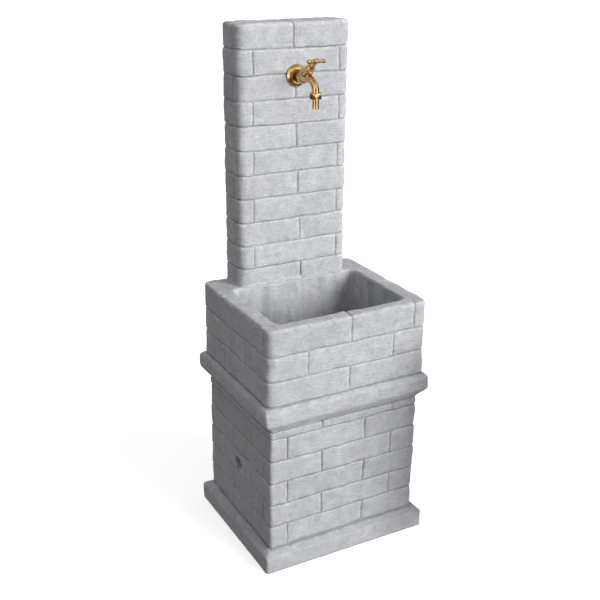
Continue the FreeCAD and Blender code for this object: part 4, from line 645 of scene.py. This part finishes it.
# %% Column
COLUMN_COURSE = 65 * MM
TOP_COURSE = 64 * MM
FRONT_CORNER = 22 * MM
BACK_CORNER = 10 * MM
SIDE_JOINT = 37 * MM
FIRST_MIDDLE = -6 * MM
MIDDLE_DRIFT = 5.4 * MM
POCKET_LOW = Vector((-39 * MM, CHASE_FACE, 1.222))
POCKET_HIGH = Vector((45 * MM, 0.4, 1.318))
TAP_HOLE_RADIUS = 16 * MM
TAP_AXIS = (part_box("rosette")[0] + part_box("rosette")[1]) / 2

column_width, column_depth = COLUMN_HIGH.x - COLUMN_LOW.x, COLUMN_HIGH.y - COLUMN_LOW.y
column_middle = (COLUMN_LOW.y + COLUMN_HIGH.y) / 2


def column_joints(course):
    """Courses 1, 3 and so on have two joints; the others have one, which drifts to the right."""
    if course % 2:
        return -0.124, 0.133
    return (FIRST_MIDDLE + MIDDLE_DRIFT * course / 2,)


column_bricks = Bricks(
    "column", COLUMN_LOW, COLUMN_HIGH, COLUMN_LOW.z - 9 * MM,
    [COLUMN_HIGH.z - TOP_COURSE - row * COLUMN_COURSE for row in range(10)], column_joints,
    lambda course: () if course % 2 else (COLUMN_LOW.y + SIDE_JOINT,), plain_back=True,
    over_top=[(FIRST_MIDDLE, COLUMN_LOW.y - 1.0, COLUMN_HIGH.y + 1.0)])

column = begin("column")
slab = (column_width, column_depth, FRONT_CORNER, column_middle, BACK_CORNER)
outline(COLUMN_LOW.z, *slab, filled=True)
stack([(COLUMN_LOW.z, *slab), (COLUMN_HIGH.z, *slab)])
outline(COLUMN_HIGH.z, *slab, filled=True)
done(column)
edit(column)
soften(COLUMN_HIGH.z, 9 * MM, 4)
slice_up(0, lines(-column_width / 2 + FRONT_CORNER, column_width / 2 - FRONT_CORNER,
                  (-0.124, 0.133) + tuple(column_joints(course)[0] for course in range(0, 11, 2))))
slice_up(1, lines(COLUMN_LOW.y + FRONT_CORNER, COLUMN_HIGH.y - BACK_CORNER, (COLUMN_LOW.y + SIDE_JOINT,)))
slice_up(2, lines(COLUMN_LOW.z, COLUMN_HIGH.z - 9 * MM, column_bricks.beds))
done(column)
cut_chase(column, COLUMN_LOW.z - FLOOR, POCKET_LOW.z + MM)
cut_away(column, bar_tool(POCKET_LOW, POCKET_HIGH))
cut_away(column, round_tool(TAP_HOLE_RADIUS, 60 * MM, (TAP_AXIS.x, COLUMN_LOW.y, TAP_AXIS.z),
                            (math.pi / 2, 0, 0)))
close_up(column)
groove_and_age(column, column_bricks, 0.0,
               lambda points: (points[:, 2] < COLUMN_LOW.z + MM) | (points[:, 1] > COLUMN_HIGH.y - MM))

# %% [markdown]
# ## The mortar under the column
# The bed is squeezed out a little past the slab, and it leans back where it meets the stone. It is a low
# stack of outlines, cut fine, and a Displace modifier bites gaps out of it.

# %% Mortar squeezed out at the foot of the column
SQUEEZED = 3.2 * MM
MORTAR_MESH = 3 * MM
GAP_DEPTH = 3 * MM
mortar = begin("column_mortar")
mortar_low, mortar_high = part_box("column_mortar_bed")
mortar_levels = [(mortar_low.z, SQUEEZED), (mortar_low.z + 2 * MM, SQUEEZED),
                 (mortar_high.z + 1 * MM, 2 * MM), (mortar_high.z + 3.5 * MM, -1.5 * MM)]
mortar_rows = []
for level, margin in mortar_levels:
    mortar_rows.append((level, column_width + 2 * margin, column_depth + margin, FRONT_CORNER + margin,
                        column_middle + margin / 2, BACK_CORNER + margin))
outline(*mortar_rows[0], filled=True)
stack(mortar_rows)
outline(*mortar_rows[-1], filled=True)
for axis, low, high in ((0, -column_width / 2, column_width / 2), (1, COLUMN_LOW.y, COLUMN_HIGH.y)):
    slice_up(axis, [low + step * MORTAR_MESH for step in range(1, int((high - low) / MORTAR_MESH))])
done(mortar)
cut_chase(mortar, mortar_low.z - FLOOR, mortar_high.z + FLOOR)
close_up(mortar)
spots = points_of(mortar)
lumps = np.clip(0.5 + ripple(spots, 9 * MM, "lumps") + 0.6 * ripple(spots, 30 * MM, "gaps"), 0, 1)
weigh(mortar, "gaps", np.where(spots[:, 2] > mortar_low.z + MM, 1 - lumps, 0.0))
apply(mortar, "DISPLACE", strength=-GAP_DEPTH, mid_level=0.0, vertex_group="gaps")
mortar.vertex_groups.clear()
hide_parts("column_mortar_bed")
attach(mortar, "fountain")
print("mortar", len(mortar.data.polygons), "faces")

# %% [markdown]
# ## Places of the castings
# Each casting takes the place of its node in the frame, and rides the fountain, which stands still.

# %% Places of the castings
for piece, node in ((pedestal, "pedestal_block"), (basin, "basin_block"), (column, "column_block")):
    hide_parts(node)
    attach(piece, "fountain")
    print(piece.name, sum(len(face.vertices) - 2 for face in piece.data.polygons), "triangles")

# %% [markdown]
# ## Rings along an axis
# The tap is cast and turned brass. Its shapes are circles joined one after another along an axis. A closed
# profile returns to its start and leaves a bore, and an open one is capped at both ends. Cast shapes are
# melted together by a voxel remesh and smoothed, which leaves the soft fillets of a casting.

# %% Turned and cast shapes
SHANK_TILT = math.radians(90)
STEM_TILT = math.radians(55)
STEM = Vector((0.0, -math.sin(STEM_TILT), math.cos(STEM_TILT)))
TAP = Vector((TAP_AXIS.x, COLUMN_LOW.y, TAP_AXIS.z))
CHAMBER_REACH = 34 * MM
SEAT_LIFT = 20 * MM
SPOUT_REACH = 103 * MM
SPOUT_DROP = 30 * MM
CHAMBER = TAP + Vector((0.0, -CHAMBER_REACH, 0.0))
SEAT = CHAMBER + SEAT_LIFT * STEM
OUTLET = Vector((TAP.x, TAP.y - SPOUT_REACH, TAP.z - SPOUT_DROP))
ON_STEM = (STEM_TILT, 0, 0)
RING_SIDES = 48
BAR_LENGTH = 0.2


def ring(radius, middle, turn, fill="NOTHING"):
    """A circle of a radius round a point, alone or filled."""
    bpy.ops.mesh.select_mode(type="VERT")
    bpy.ops.mesh.select_all(action="DESELECT")
    bpy.ops.mesh.primitive_circle_add(vertices=RING_SIDES, radius=radius, location=middle, rotation=turn,
                                      fill_type=fill)


def tube(rings, closed=False):
    """Joins rings one after another; an open tube is capped at both ends."""
    rings = rings + rings[:1] if closed else rings
    for lower, upper in zip(rings, rings[1:]):
        ring(*lower)
        ring(*upper)
        pick("edges", lambda edge: edge.is_wire)
        bpy.ops.mesh.bridge_edge_loops()
    if not closed:
        ring(*rings[0], fill="NGON")
        ring(*rings[-1], fill="NGON")


def turned(profile, start, tilt=0.0, closed=True):
    """Rings from pairs of radius and distance in millimetres, along an axis tilted forward from upright."""
    axis = Vector((0.0, -math.sin(tilt), math.cos(tilt)))
    tube([(radius * MM, start + distance * MM * axis, (tilt, 0.0, 0.0)) for radius, distance in profile],
         closed)


def cast(piece, voxel, rounds):
    """Melts closed shapes that overlap into one skin, and rounds the seams between them."""
    apply(piece, "REMESH", mode="VOXEL", voxel_size=voxel)
    apply(piece, "SMOOTH", factor=0.5, iterations=rounds)


def six_sided(piece, across, middle, turn):
    """Keeps what lies inside a hexagonal bar, so that a turned blank becomes a nut with round chamfers."""
    bar = round_tool(across * MM / math.sqrt(3), BAR_LENGTH, middle, turn, sides=6)
    apply(piece, "BOOLEAN", operation="INTERSECT", object=bar, solver="EXACT")
    bpy.data.objects.remove(bar)


# %% [markdown]
# ## The tap
# A domed wall flange with a hollow round the shank covers the hole in the stone. The body swells into the
# valve chamber and ends in a curved spout, which is a row of rings swung round a centre. Inside it the bore
# and the seat are cut out. The profiles are pairs of radius and distance in millimetres.

# %% Wall flange and body
rosette = begin("wall_flange")
turned([(10.8, 0), (30, 0), (30, 1.6), (29.4, 3.2), (28, 5), (25.8, 7.2), (23.2, 9.2), (20.8, 10.5),
        (18.8, 11), (17.4, 10.9), (16.6, 10.1), (15.9, 8.6), (15.0, 7.6), (13.4, 7.2), (10.8, 7.2)],
       TAP, SHANK_TILT)
done(rosette)

tap_body = begin("cast_tap_body")
turned([(10.3, -22), (10.3, 7.3), (13.3, 7.3), (13.5, 12), (14.2, 18), (15.4, 24), (16.4, 30), (16.6, 36),
        (14.5, 42), (9, 46)], TAP, SHANK_TILT, closed=False)
turned([(8, -25), (12, -22), (15.4, -15), (16.8, -7), (17, 0), (16.8, 5), (15.4, 9), (13.8, 12.5),
        (13, 15.2)], SEAT, STEM_TILT, closed=False)
SPOUT_STEP = 10
spout = [(9.8 * MM, CHAMBER, (SHANK_TILT, 0.0, 0.0))]
for step in range(90 // SPOUT_STEP + 1):
    swing = math.radians(SPOUT_STEP * step)
    middle = OUTLET + SPOUT_DROP * Vector((0.0, 1.0 - math.sin(swing), math.cos(swing)))
    spout.append(((9.7 - 0.06 * step) * MM, middle, (SHANK_TILT + swing, 0.0, 0.0)))
tube(spout + [(9.1 * MM, OUTLET + Vector((0, 0, -1 * MM)), (math.pi, 0.0, 0.0))])
turned([(12.9, -8), (12.9, -0.6)], OUTLET, closed=False)
done(tap_body)
cast(tap_body, 0.6 * MM, 10)
cut_away(tap_body, round_tool(10 * MM, 17 * MM, SEAT + 8.5 * MM * STEM, ON_STEM))
cut_away(tap_body, round_tool(5 * MM, 24 * MM, SEAT - 8 * MM * STEM, ON_STEM))
cut_away(tap_body, round_tool(5.5 * MM, 20 * MM, OUTLET))
print("tap body", len(tap_body.data.polygons), "faces")

# %% [markdown]
# ## The nuts of the valve
# The bonnet screws into the chamber and the gland nut presses the packing round the stem. Each is a turned
# blank that is cut to six sides, so that the round chamfers stay on the corners, as on a real nut.

# %% Bonnet and gland nut
bonnet = begin("turned_bonnet")
turned([(9.9, 7.1), (9.9, 16.5), (12.4, 16.5), (13.7, 17.5), (13.86, 20.5), (13.7, 23.2), (12.2, 24.5),
        (9.9, 24.7), (8.8, 25.6), (8.5, 27), (8.5, 33.5), (6.5, 33.5), (6.5, 27.5), (5.08, 27.5), (5.08, 13),
        (8.2, 13), (8.2, 7.1)], SEAT, STEM_TILT)
done(bonnet)
BONNET_ACROSS = 24
six_sided(bonnet, BONNET_ACROSS, SEAT + 20 * MM * STEM, ON_STEM)
gland_nut = begin("turned_gland_nut")
turned([(8.55, 28.5), (10.4, 28.5), (11.4, 29.4), (11.5, 31.2), (11.4, 33.2), (10.4, 34.3), (9, 34.6),
        (8.9, 35.8), (7.8, 37), (4.08, 37), (4.08, 31.5), (6.45, 31.5), (6.45, 33.5), (8.55, 33.5)],
       SEAT, STEM_TILT)
done(gland_nut)
GLAND_ACROSS = 20
six_sided(gland_nut, GLAND_ACROSS, SEAT + 30 * MM * STEM, ON_STEM)

# %% [markdown]
# ## The T handle
# A hub on the stem and a bar with two turned ends, melted together as one casting. Half of the bar's profile
# is given, and the other half is its mirror image. A shallow seat is cut in the top for the handle screw.

# %% Handle
HUB_TOP = 69.3
tap_handle = begin("cast_handle")
turned([(5.2, 41), (6.2, 41.6), (6.4, 43.4), (5.4, 45), (5.3, 49), (6, 54), (7, 59), (7.2, 64), (6.9, 68),
        (6, HUB_TOP)], SEAT, STEM_TILT, closed=False)
BAR_PROFILE = [(3.6, 25.5), (5, 25.1), (5.5, 23.8), (5.6, 19), (5.2, 17.6), (4.4, 16.2), (4.3, 10),
               (4.8, 8.6), (5.6, 7.8), (5.6, 6)]
BAR_HEIGHT = 64 * MM
bar_middle = SEAT + BAR_HEIGHT * STEM
half_bar = [(radius * MM, side * across * MM) for side in (-1, 1) for radius, across in BAR_PROFILE[::-side]]
tube([(radius, bar_middle + Vector((across, 0, 0)), (0.0, math.pi / 2, 0.0)) for radius, across in
      sorted(half_bar, key=lambda item: item[1])])
done(tap_handle)
cast(tap_handle, 0.45 * MM, 4)
cut_away(tap_handle, round_tool(3.7 * MM, 4 * MM, SEAT + HUB_TOP * MM * STEM, ON_STEM))
print("handle", len(tap_handle.data.polygons), "faces")

# %% [markdown]
# ## The outlet
# A union nut pulls the collar of the plain hose tail up against the spout. The nut is a turned blank again,
# and the tail is a tube with a bead at its end that a hose is pushed over.

# %% Union nut and hose tail
UNION_ACROSS = 30
union_nut = begin("turned_union_nut")
turned([(13.15, 0), (15.2, 0), (16.7, -1.2), (17.3, -4), (17.3, -11), (16.4, -14), (14.2, -16), (9.3, -16),
        (9.3, -13), (13.15, -13)], OUTLET)
done(union_nut)
six_sided(union_nut, UNION_ACROSS, OUTLET, (0, 0, math.radians(30)))
hose_tail = begin("turned_hose_tail")
turned([(5.5, -40), (8, -40), (8.8, -39), (8.7, -37.6), (8.3, -36), (8.2, -30), (8.5, -18), (8.5, -13),
        (12, -13), (12, -10), (5.5, -10)], OUTLET)
done(hose_tail)

# %% [markdown]
# ## Places of the tap
# Every new piece takes the place of its node. The handle rides the stem and turns with it, and the others
# stay with the fountain. Only the flange casts a shadow, so that the tap throws no dark shape on the stone.

# %% Places of the tap
CAST_SMOOTH = 60
TURNED_SMOOTH = 35
TAP_PIECES = {"rosette": rosette, "tap_body": tap_body, "bonnet": bonnet, "gland_nut": gland_nut,
              "tap_handle": tap_handle, "union_nut": union_nut, "hose_tail": hose_tail}
for node, piece in TAP_PIECES.items():
    shade(piece, CAST_SMOOTH if piece in (tap_body, tap_handle) else TURNED_SMOOTH)
    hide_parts(node)
    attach(piece, "stem" if node == "tap_handle" else "fountain")
    piece.visible_shadow = piece is rosette
    print(piece.name, [round(side * 1000, 1) for side in piece.dimensions], "mm")

# %% [markdown]
# ## Shader maths in plain Python
# A finish is a tree of nodes. Small classes let it be written as arithmetic: a Field wraps one socket, and
# an expression on fields adds the Math nodes. Every other node comes from one method.


# %% Fields and finishes
class Field:
    """A number or colour that varies over a surface."""

    def __init__(self, finish, socket):
        self.finish = finish
        self.socket = socket

    def maths(self, operation, *values):
        return self.finish.add("ShaderNodeMath", {"operation": operation}, dict(enumerate(values)))

    def __add__(self, other):
        return self.maths("ADD", self, other)

    def __sub__(self, other):
        return self.maths("SUBTRACT", self, other)

    def __rsub__(self, other):
        return self.maths("SUBTRACT", other, self)

    def __mul__(self, other):
        return self.maths("MULTIPLY", self, other)

    __radd__ = __add__
    __rmul__ = __mul__

    def between(self, low, high):
        """0 below low, 1 above high and a smooth rise from one to the other."""
        return self.finish.add("ShaderNodeMapRange", {"interpolation_type": "SMOOTHSTEP"},
                               {"Value": self, "From Min": low, "From Max": high})


class Nodes:
    """The nodes of one tree."""

    def __init__(self, tree):
        self.tree = tree

    def add(self, kind, settings=None, values=None, output=0):
        """A node of a type, with its settings made first and then its sockets filled or linked."""
        node = self.tree.nodes.new(kind)
        for name, value in (settings or {}).items():
            setattr(node, name, value)
        for name, value in (values or {}).items():
            self.connect(node.inputs[name], value)
        return Field(self, node.outputs[output])

    def connect(self, socket, value):
        if isinstance(value, Field):
            self.tree.links.new(value.socket, socket)
        else:
            socket.default_value = value

    def ramp(self, share, stops):
        """Colours along a ramp, from pairs of position and colour."""
        field = self.add("ShaderNodeValToRGB", {}, {"Fac": share})
        elements = field.socket.node.color_ramp.elements
        while len(elements) < len(stops):
            elements.new(0.5)
        for element, (position, colour) in zip(elements, stops):
            element.position = position
            element.color = colour
        return field

    def mix(self, share, first, second):
        return self.add("ShaderNodeMix", {"data_type": "RGBA"}, {0: share, 6: first, 7: second}, output=2)


class Finish(Nodes):
    """One material and its nodes."""

    def __init__(self, name):
        self.material = bpy.data.materials.new(name)
        self.material.use_nodes = True
        super().__init__(self.material.node_tree)
        self.shader = self.tree.nodes["Principled BSDF"]
        self.place = self.add("ShaderNodeTexCoord", output="Object")

    def moved(self, scale, turn=(0, 0, 0)):
        return self.add("ShaderNodeMapping", {}, {"Vector": self.place, "Scale": scale, "Rotation": turn})

    def noise(self, scale, detail=3.0, roughness=0.55, vector=None, distortion=0.0):
        return self.add("ShaderNodeTexNoise", {},
                        {"Vector": vector or self.place, "Scale": scale, "Detail": detail,
                         "Roughness": roughness, "Distortion": distortion})

    def cells(self, scale):
        return self.add("ShaderNodeTexVoronoi", {}, {"Vector": self.place, "Scale": scale})

    def painted(self, name):
        return self.add("ShaderNodeAttribute", {"attribute_name": name}, output="Fac")

    def bump(self, height, distance, strength=1.0, under=None):
        values = {"Height": height, "Distance": distance, "Strength": strength}
        if under:
            values["Normal"] = under
        return self.add("ShaderNodeBump", {}, values)

    def surface(self, **values):
        """Fills the sockets of the surface shader; Base_Color stands for Base Color."""
        for name, value in values.items():
            self.connect(self.shader.inputs[name.replace("_", " ")], value)
        return self.material


# %% [markdown]
# ## Cast stone
# Pale grey concrete. Large soft clouds and small speckles break up the colour, faint brush strokes run along
# the courses, the joints are dark with dirt, edges are rubbed pale and carry a painted highlight, and air
# bubbles leave small dark pits. Painted shade darkens the hollows, the basin towards its floor, the foot of
# the pedestal and the lower castings.

# %% Cast stone finish
stone = Finish("cast stone")
joint = stone.painted("from_joint")
edge = stone.painted("arris")
tone = stone.painted("brick_tone")
pressed = stone.painted("pressed")
grime = stone.painted("grime")
patches = stone.noise(6.0, 4.0, 0.62)
cloudy = stone.noise(26.0, 6.0, 0.66, distortion=0.7)
grain = stone.noise(130.0, 4.0, 0.7)
speckle = stone.noise(420.0, 3.0, 0.7)
level_strokes = stone.moved((1.0, 1.0, 6.5), (0.05, 0.05, 0.0))
slanting = stone.moved((1.0, 1.0, 11.0), (0.35, 0.28, 0.0))
strokes = stone.noise(44.0, 5.0, 0.68, vector=level_strokes, distortion=0.9)
scratches = stone.noise(30.0, 5.0, 0.7, vector=slanting, distortion=0.5)
pits = stone.cells(150.0)
in_joint = (1.0 - joint.between(0.06, 0.30)) * (0.45 + 0.6 * pressed)
pit = (1.0 - pits.between(0.10, 0.24)) * stone.noise(40.0, 2.0).between(0.54, 0.62)
light_mark = scratches.between(0.56, 0.66) * cloudy.between(0.45, 0.62)
dark_mark = (1.0 - strokes.between(0.36, 0.46)) * patches.between(0.40, 0.60)
# Rubbed pale edges: wear of the stone, and a painted highlight on every edge that stands out.
edge_wear_and_highlight = edge.between(0.02, 0.20) * grain.between(0.34, 0.60)
# Painted shade: where the arris number is below 0, in hollows of the skin, the stone is drawn darker.
hollow_shade = 1.0 - edge.between(-0.20, -0.01)
level = 0.545 + (patches - 0.5) * 0.18 + (cloudy - 0.5) * 0.30 + (strokes - 0.5) * 0.24
level = level + (grain - 0.5) * 0.22 + (speckle - 0.5) * 0.15 + (tone - 0.5) * 0.035
level = level + edge_wear_and_highlight * 0.13 + light_mark * 0.10
level = level * (1.0 - 0.30 * in_joint) * (1.0 - 0.40 * pit)
level = level * (1.0 - 0.16 * hollow_shade) * (1.0 - 0.16 * dark_mark)
# A pale band beside each joint: worn brick edges, and a painted highlight on the arris next to the groove.
joint_edge_wear_and_highlight = joint.between(0.20, 0.34) * (1.0 - joint.between(0.42, 0.80)) * grain.between(0.48, 0.66)
height = stone.add("ShaderNodeSeparateXYZ", {}, {"Vector": stone.place}, output="Z")
drips = stone.noise(34.0, 4.0, 0.62, vector=stone.moved((1.0, 1.0, 0.16)), distortion=0.3)
inside = stone.painted("inside")
# Painted shade: inside the basin the stone is drawn darker towards its floor; the drips are stains.
deep_shade = 1.0 - height.between(basin_floor, rim)
# Painted shade: the colour of each casting is darkened by its grime number.
level = (level + 0.09 * joint_edge_wear_and_highlight) * (1.0 - 0.13 * grime)
level = level * (1.0 - inside * (0.24 * drips.between(0.40, 0.66) + 0.12 * deep_shade))
# Painted contact shadow: the stone is drawn down to half its brightness in the lowest 7 mm, where the
# pedestal meets the floor.
level = level * (0.50 + 0.50 * height.between(-1 * MM, 7 * MM))
STONE_COLOURS = [(0.0, (0.02, 0.022, 0.024, 1)), (0.5, (0.490, 0.499, 0.524, 1)),
                 (1.0, (0.98, 0.99, 1.0, 1))]
colour = stone.ramp(level, STONE_COLOURS)
fine = stone.bump(speckle + 0.8 * grain - 1.5 * pit, 1.2 * MM, 0.6)
relief = stone.bump(strokes + 0.8 * scratches + 0.6 * cloudy, 2.8 * MM, 0.65, under=fine)
stone.surface(Base_Color=colour, Roughness=0.88 + (speckle - 0.5) * 0.2, Normal=relief,
              Specular_IOR_Level=0.25)
for piece in (pedestal, basin, column):
    piece.data.materials.append(stone.material)

# %% [markdown]
# ## Finishes of the fittings
# The pieces that weren't made anew keep their shape, and each slot gets a finish with grain, tarnish or
# darker clouds. The new tap and the new mortar take theirs from the same list.


# %% Metal, rubber, plastic and mortar finishes
def metal(name, colour, stain, roughness, brush=(1, 1, 1)):
    """A metal with clouds of tarnish, fine scratches and a little unevenness."""
    finish = Finish(name)
    tarnish = finish.noise(60.0, 4.0, 0.6).between(0.45, 0.75)
    scratches = finish.noise(900.0, 2.0, 0.6, vector=finish.moved(brush))
    finish.surface(Base_Color=finish.mix(0.55 * tarnish, (*colour, 1), (*stain, 1)), Metallic=1.0,
                   Roughness=roughness + 0.16 * tarnish + 0.08 * (scratches - 0.5),
                   Normal=finish.bump(scratches, 0.05 * MM, 0.3))
    return finish.material


def dull(name, colour, dark, roughness, grain=400.0, depth=0.2 * MM):
    """Rubber, fibre, plastic or mortar: a base colour with darker clouds and a grain."""
    finish = Finish(name)
    clouds_over = finish.noise(45.0, 4.0, 0.6)
    speck = finish.noise(grain, 3.0, 0.6)
    finish.surface(Base_Color=finish.mix(clouds_over.between(0.35, 0.75), (*colour, 1), (*dark, 1)),
                   Roughness=roughness + 0.2 * (speck - 0.5), Normal=finish.bump(speck, depth, 0.5))
    return finish.material


finishes = {
    "mortar": dull("mortar", (0.62, 0.63, 0.64), (0.34, 0.35, 0.36), 0.92, 260.0, 1.4 * MM),
    "dowel_steel": metal("ribbed steel", (0.38, 0.36, 0.34), (0.26, 0.14, 0.08), 0.5),
    "copper_tube": metal("copper pipe", (0.80, 0.42, 0.28), (0.36, 0.18, 0.12), 0.3),
    "fitting_brass": metal("fitting brass", (0.72, 0.52, 0.26), (0.42, 0.28, 0.12), 0.32),
    "tap_brass": metal("tap brass", (0.60, 0.41, 0.19), (0.26, 0.15, 0.07), 0.16),
    "zinc_steel": metal("zinc plated steel", (0.66, 0.66, 0.62), (0.45, 0.44, 0.38), 0.34),
    "nylon": dull("nylon", (0.62, 0.62, 0.60), (0.5, 0.5, 0.48), 0.5, 700.0, 0.05 * MM),
    "seal_rubber": dull("seal rubber", (0.03, 0.03, 0.032), (0.016, 0.016, 0.018), 0.7),
    "packing": dull("greased packing", (0.45, 0.40, 0.30), (0.25, 0.22, 0.16), 0.65, 900.0),
    "fibre": dull("red fibre", (0.42, 0.10, 0.07), (0.28, 0.06, 0.05), 0.75, 900.0),
    "stainless": metal("stainless steel", (0.62, 0.61, 0.59), (0.44, 0.43, 0.41), 0.26, (1, 1, 12)),
    "waste_plastic": dull("grey waste plastic", (0.30, 0.32, 0.34), (0.24, 0.26, 0.28), 0.45, 500.0,
                          0.04 * MM),
}
mortar.data.materials.append(finishes["mortar"])
for piece in TAP_PIECES.values():
    piece.data.materials.append(finishes["tap_brass"])
slot_of = {part.get("node", part.get("name")): part.get("material_slot")
           for part in frame["record"]["subparts"]}
for node, thing in frame["nodes"].items():
    wanted = finishes.get(slot_of.get(node))
    if wanted:
        thing.data.materials.clear()
        thing.data.materials.append(wanted)
print(slot_of)

# %% [markdown]
# ## Stage and light
# A floor that glows and is lit as well, so it is white and still takes a faint shadow. One large soft light
# stands at the front right. A black card on the right, out of sight, shades the right end of the castings.

# %% Floor
FLOOR_GLOW = 0.6
bpy.ops.mesh.primitive_plane_add(size=40.0, location=(0, 0, 0))
floor = bpy.context.object
floor.name = "floor"
floor.visible_diffuse = False
floor.visible_glossy = False
floor_finish = Finish("pale floor")
floor_finish.surface(Base_Color=(0.9, 0.9, 0.9, 1), Roughness=1.0, Specular_IOR_Level=0.0,
                     Emission_Color=(1, 1, 1, 1), Emission_Strength=FLOOR_GLOW)
floor.data.materials.append(floor_finish.material)

# %% Soft light and card
KEY_STRENGTH = 3.5
SUN_AZIMUTH = math.radians(28)
SUN_ELEVATION = math.radians(19)
SUN_SPREAD = math.radians(32)
CARD_MIDDLE = (0.40, -0.38, 0.39)
CARD_SIZE = (0.58, 0.48, 1.0)

towards = direction(SUN_AZIMUTH, SUN_ELEVATION)
bpy.ops.object.light_add(type="SUN", location=3 * towards)
key = bpy.context.object
key.name = "key"
key.data.angle = SUN_SPREAD
key.data.energy = KEY_STRENGTH
key.visible_glossy = False
key.rotation_euler = towards.to_track_quat("Z", "Y").to_euler()

bpy.ops.mesh.primitive_plane_add(size=1.0, location=CARD_MIDDLE, rotation=(0, math.pi / 2, 0))
card = bpy.context.object
card.name = "card"
card.scale = CARD_SIZE
card.visible_camera = False
card.visible_glossy = False
card_finish = Finish("black card")
card_finish.surface(Base_Color=(0.02, 0.02, 0.02, 1), Roughness=1.0, Specular_IOR_Level=0.0)
card.data.materials.append(card_finish.material)
print("key", round(math.degrees(SUN_AZIMUTH)), "degrees right and", round(math.degrees(SUN_ELEVATION)), "up")

# %% [markdown]
# ## The room
# The camera sees plain white. Stone takes its soft light from a room that is brighter above. Brass mirrors
# another one, dark along the horizon and with two bright upright strips, because a polished metal shows only
# what it mirrors. A Light Path node tells the three kinds of ray apart.

# %% Room
world = bpy.data.worlds.new("studio")
bpy.context.scene.world = world
world.use_nodes = True
room = Nodes(world.node_tree)
background = room.tree.nodes["Background"]

ROOM_LIGHT = [(0.0, (0.25, 0.25, 0.25, 1)), (0.47, (0.22, 0.22, 0.22, 1)), (0.53, (0.15, 0.15, 0.15, 1)),
              (0.66, (0.34, 0.34, 0.34, 1)), (1.0, (0.60, 0.60, 0.61, 1))]
STRIP_AZIMUTHS = (21, -69)
STRIP_EDGES = {"From Min": 0.87, "From Max": 0.95}
STRIP_LIGHT = (2.2, 2.05, 1.8, 1)
WHITE = (1, 1, 1, 1)
ROOM_MIRROR = [(0.0, (0.20, 0.19, 0.18, 1)), (0.40, (0.05, 0.04, 0.03, 1)), (0.50, (0.03, 0.025, 0.02, 1)),
               (0.60, (0.08, 0.07, 0.06, 1)), (0.78, (1.3, 1.26, 1.15, 1)), (1.0, (0.35, 0.34, 0.32, 1))]
facing = room.add("ShaderNodeTexCoord", output="Generated")
height = room.add("ShaderNodeSeparateXYZ", {}, {0: facing}, output="Z")
share = room.add("ShaderNodeMapRange", {}, {"Value": height, "From Min": -1.0, "From Max": 1.0})
strips = []
for azimuth in STRIP_AZIMUTHS:
    ways = {0: facing, 1: direction(math.radians(azimuth), 0.0)}
    along = room.add("ShaderNodeVectorMath", {"operation": "DOT_PRODUCT"}, ways, output="Value")
    strips.append(room.add("ShaderNodeMapRange", {}, {"Value": along, **STRIP_EDGES}))
bright = strips[0].maths("MAXIMUM", *strips)
mirrored = room.mix(bright, room.ramp(share, ROOM_MIRROR), STRIP_LIGHT)
glossy = room.add("ShaderNodeLightPath", output="Is Glossy Ray")
direct = room.add("ShaderNodeLightPath", output="Is Camera Ray")
lit = room.mix(glossy, room.ramp(share, ROOM_LIGHT), mirrored)
room.connect(background.inputs["Color"], room.mix(direct, lit, WHITE))
bpy.context.scene.view_settings.view_transform = "Standard"
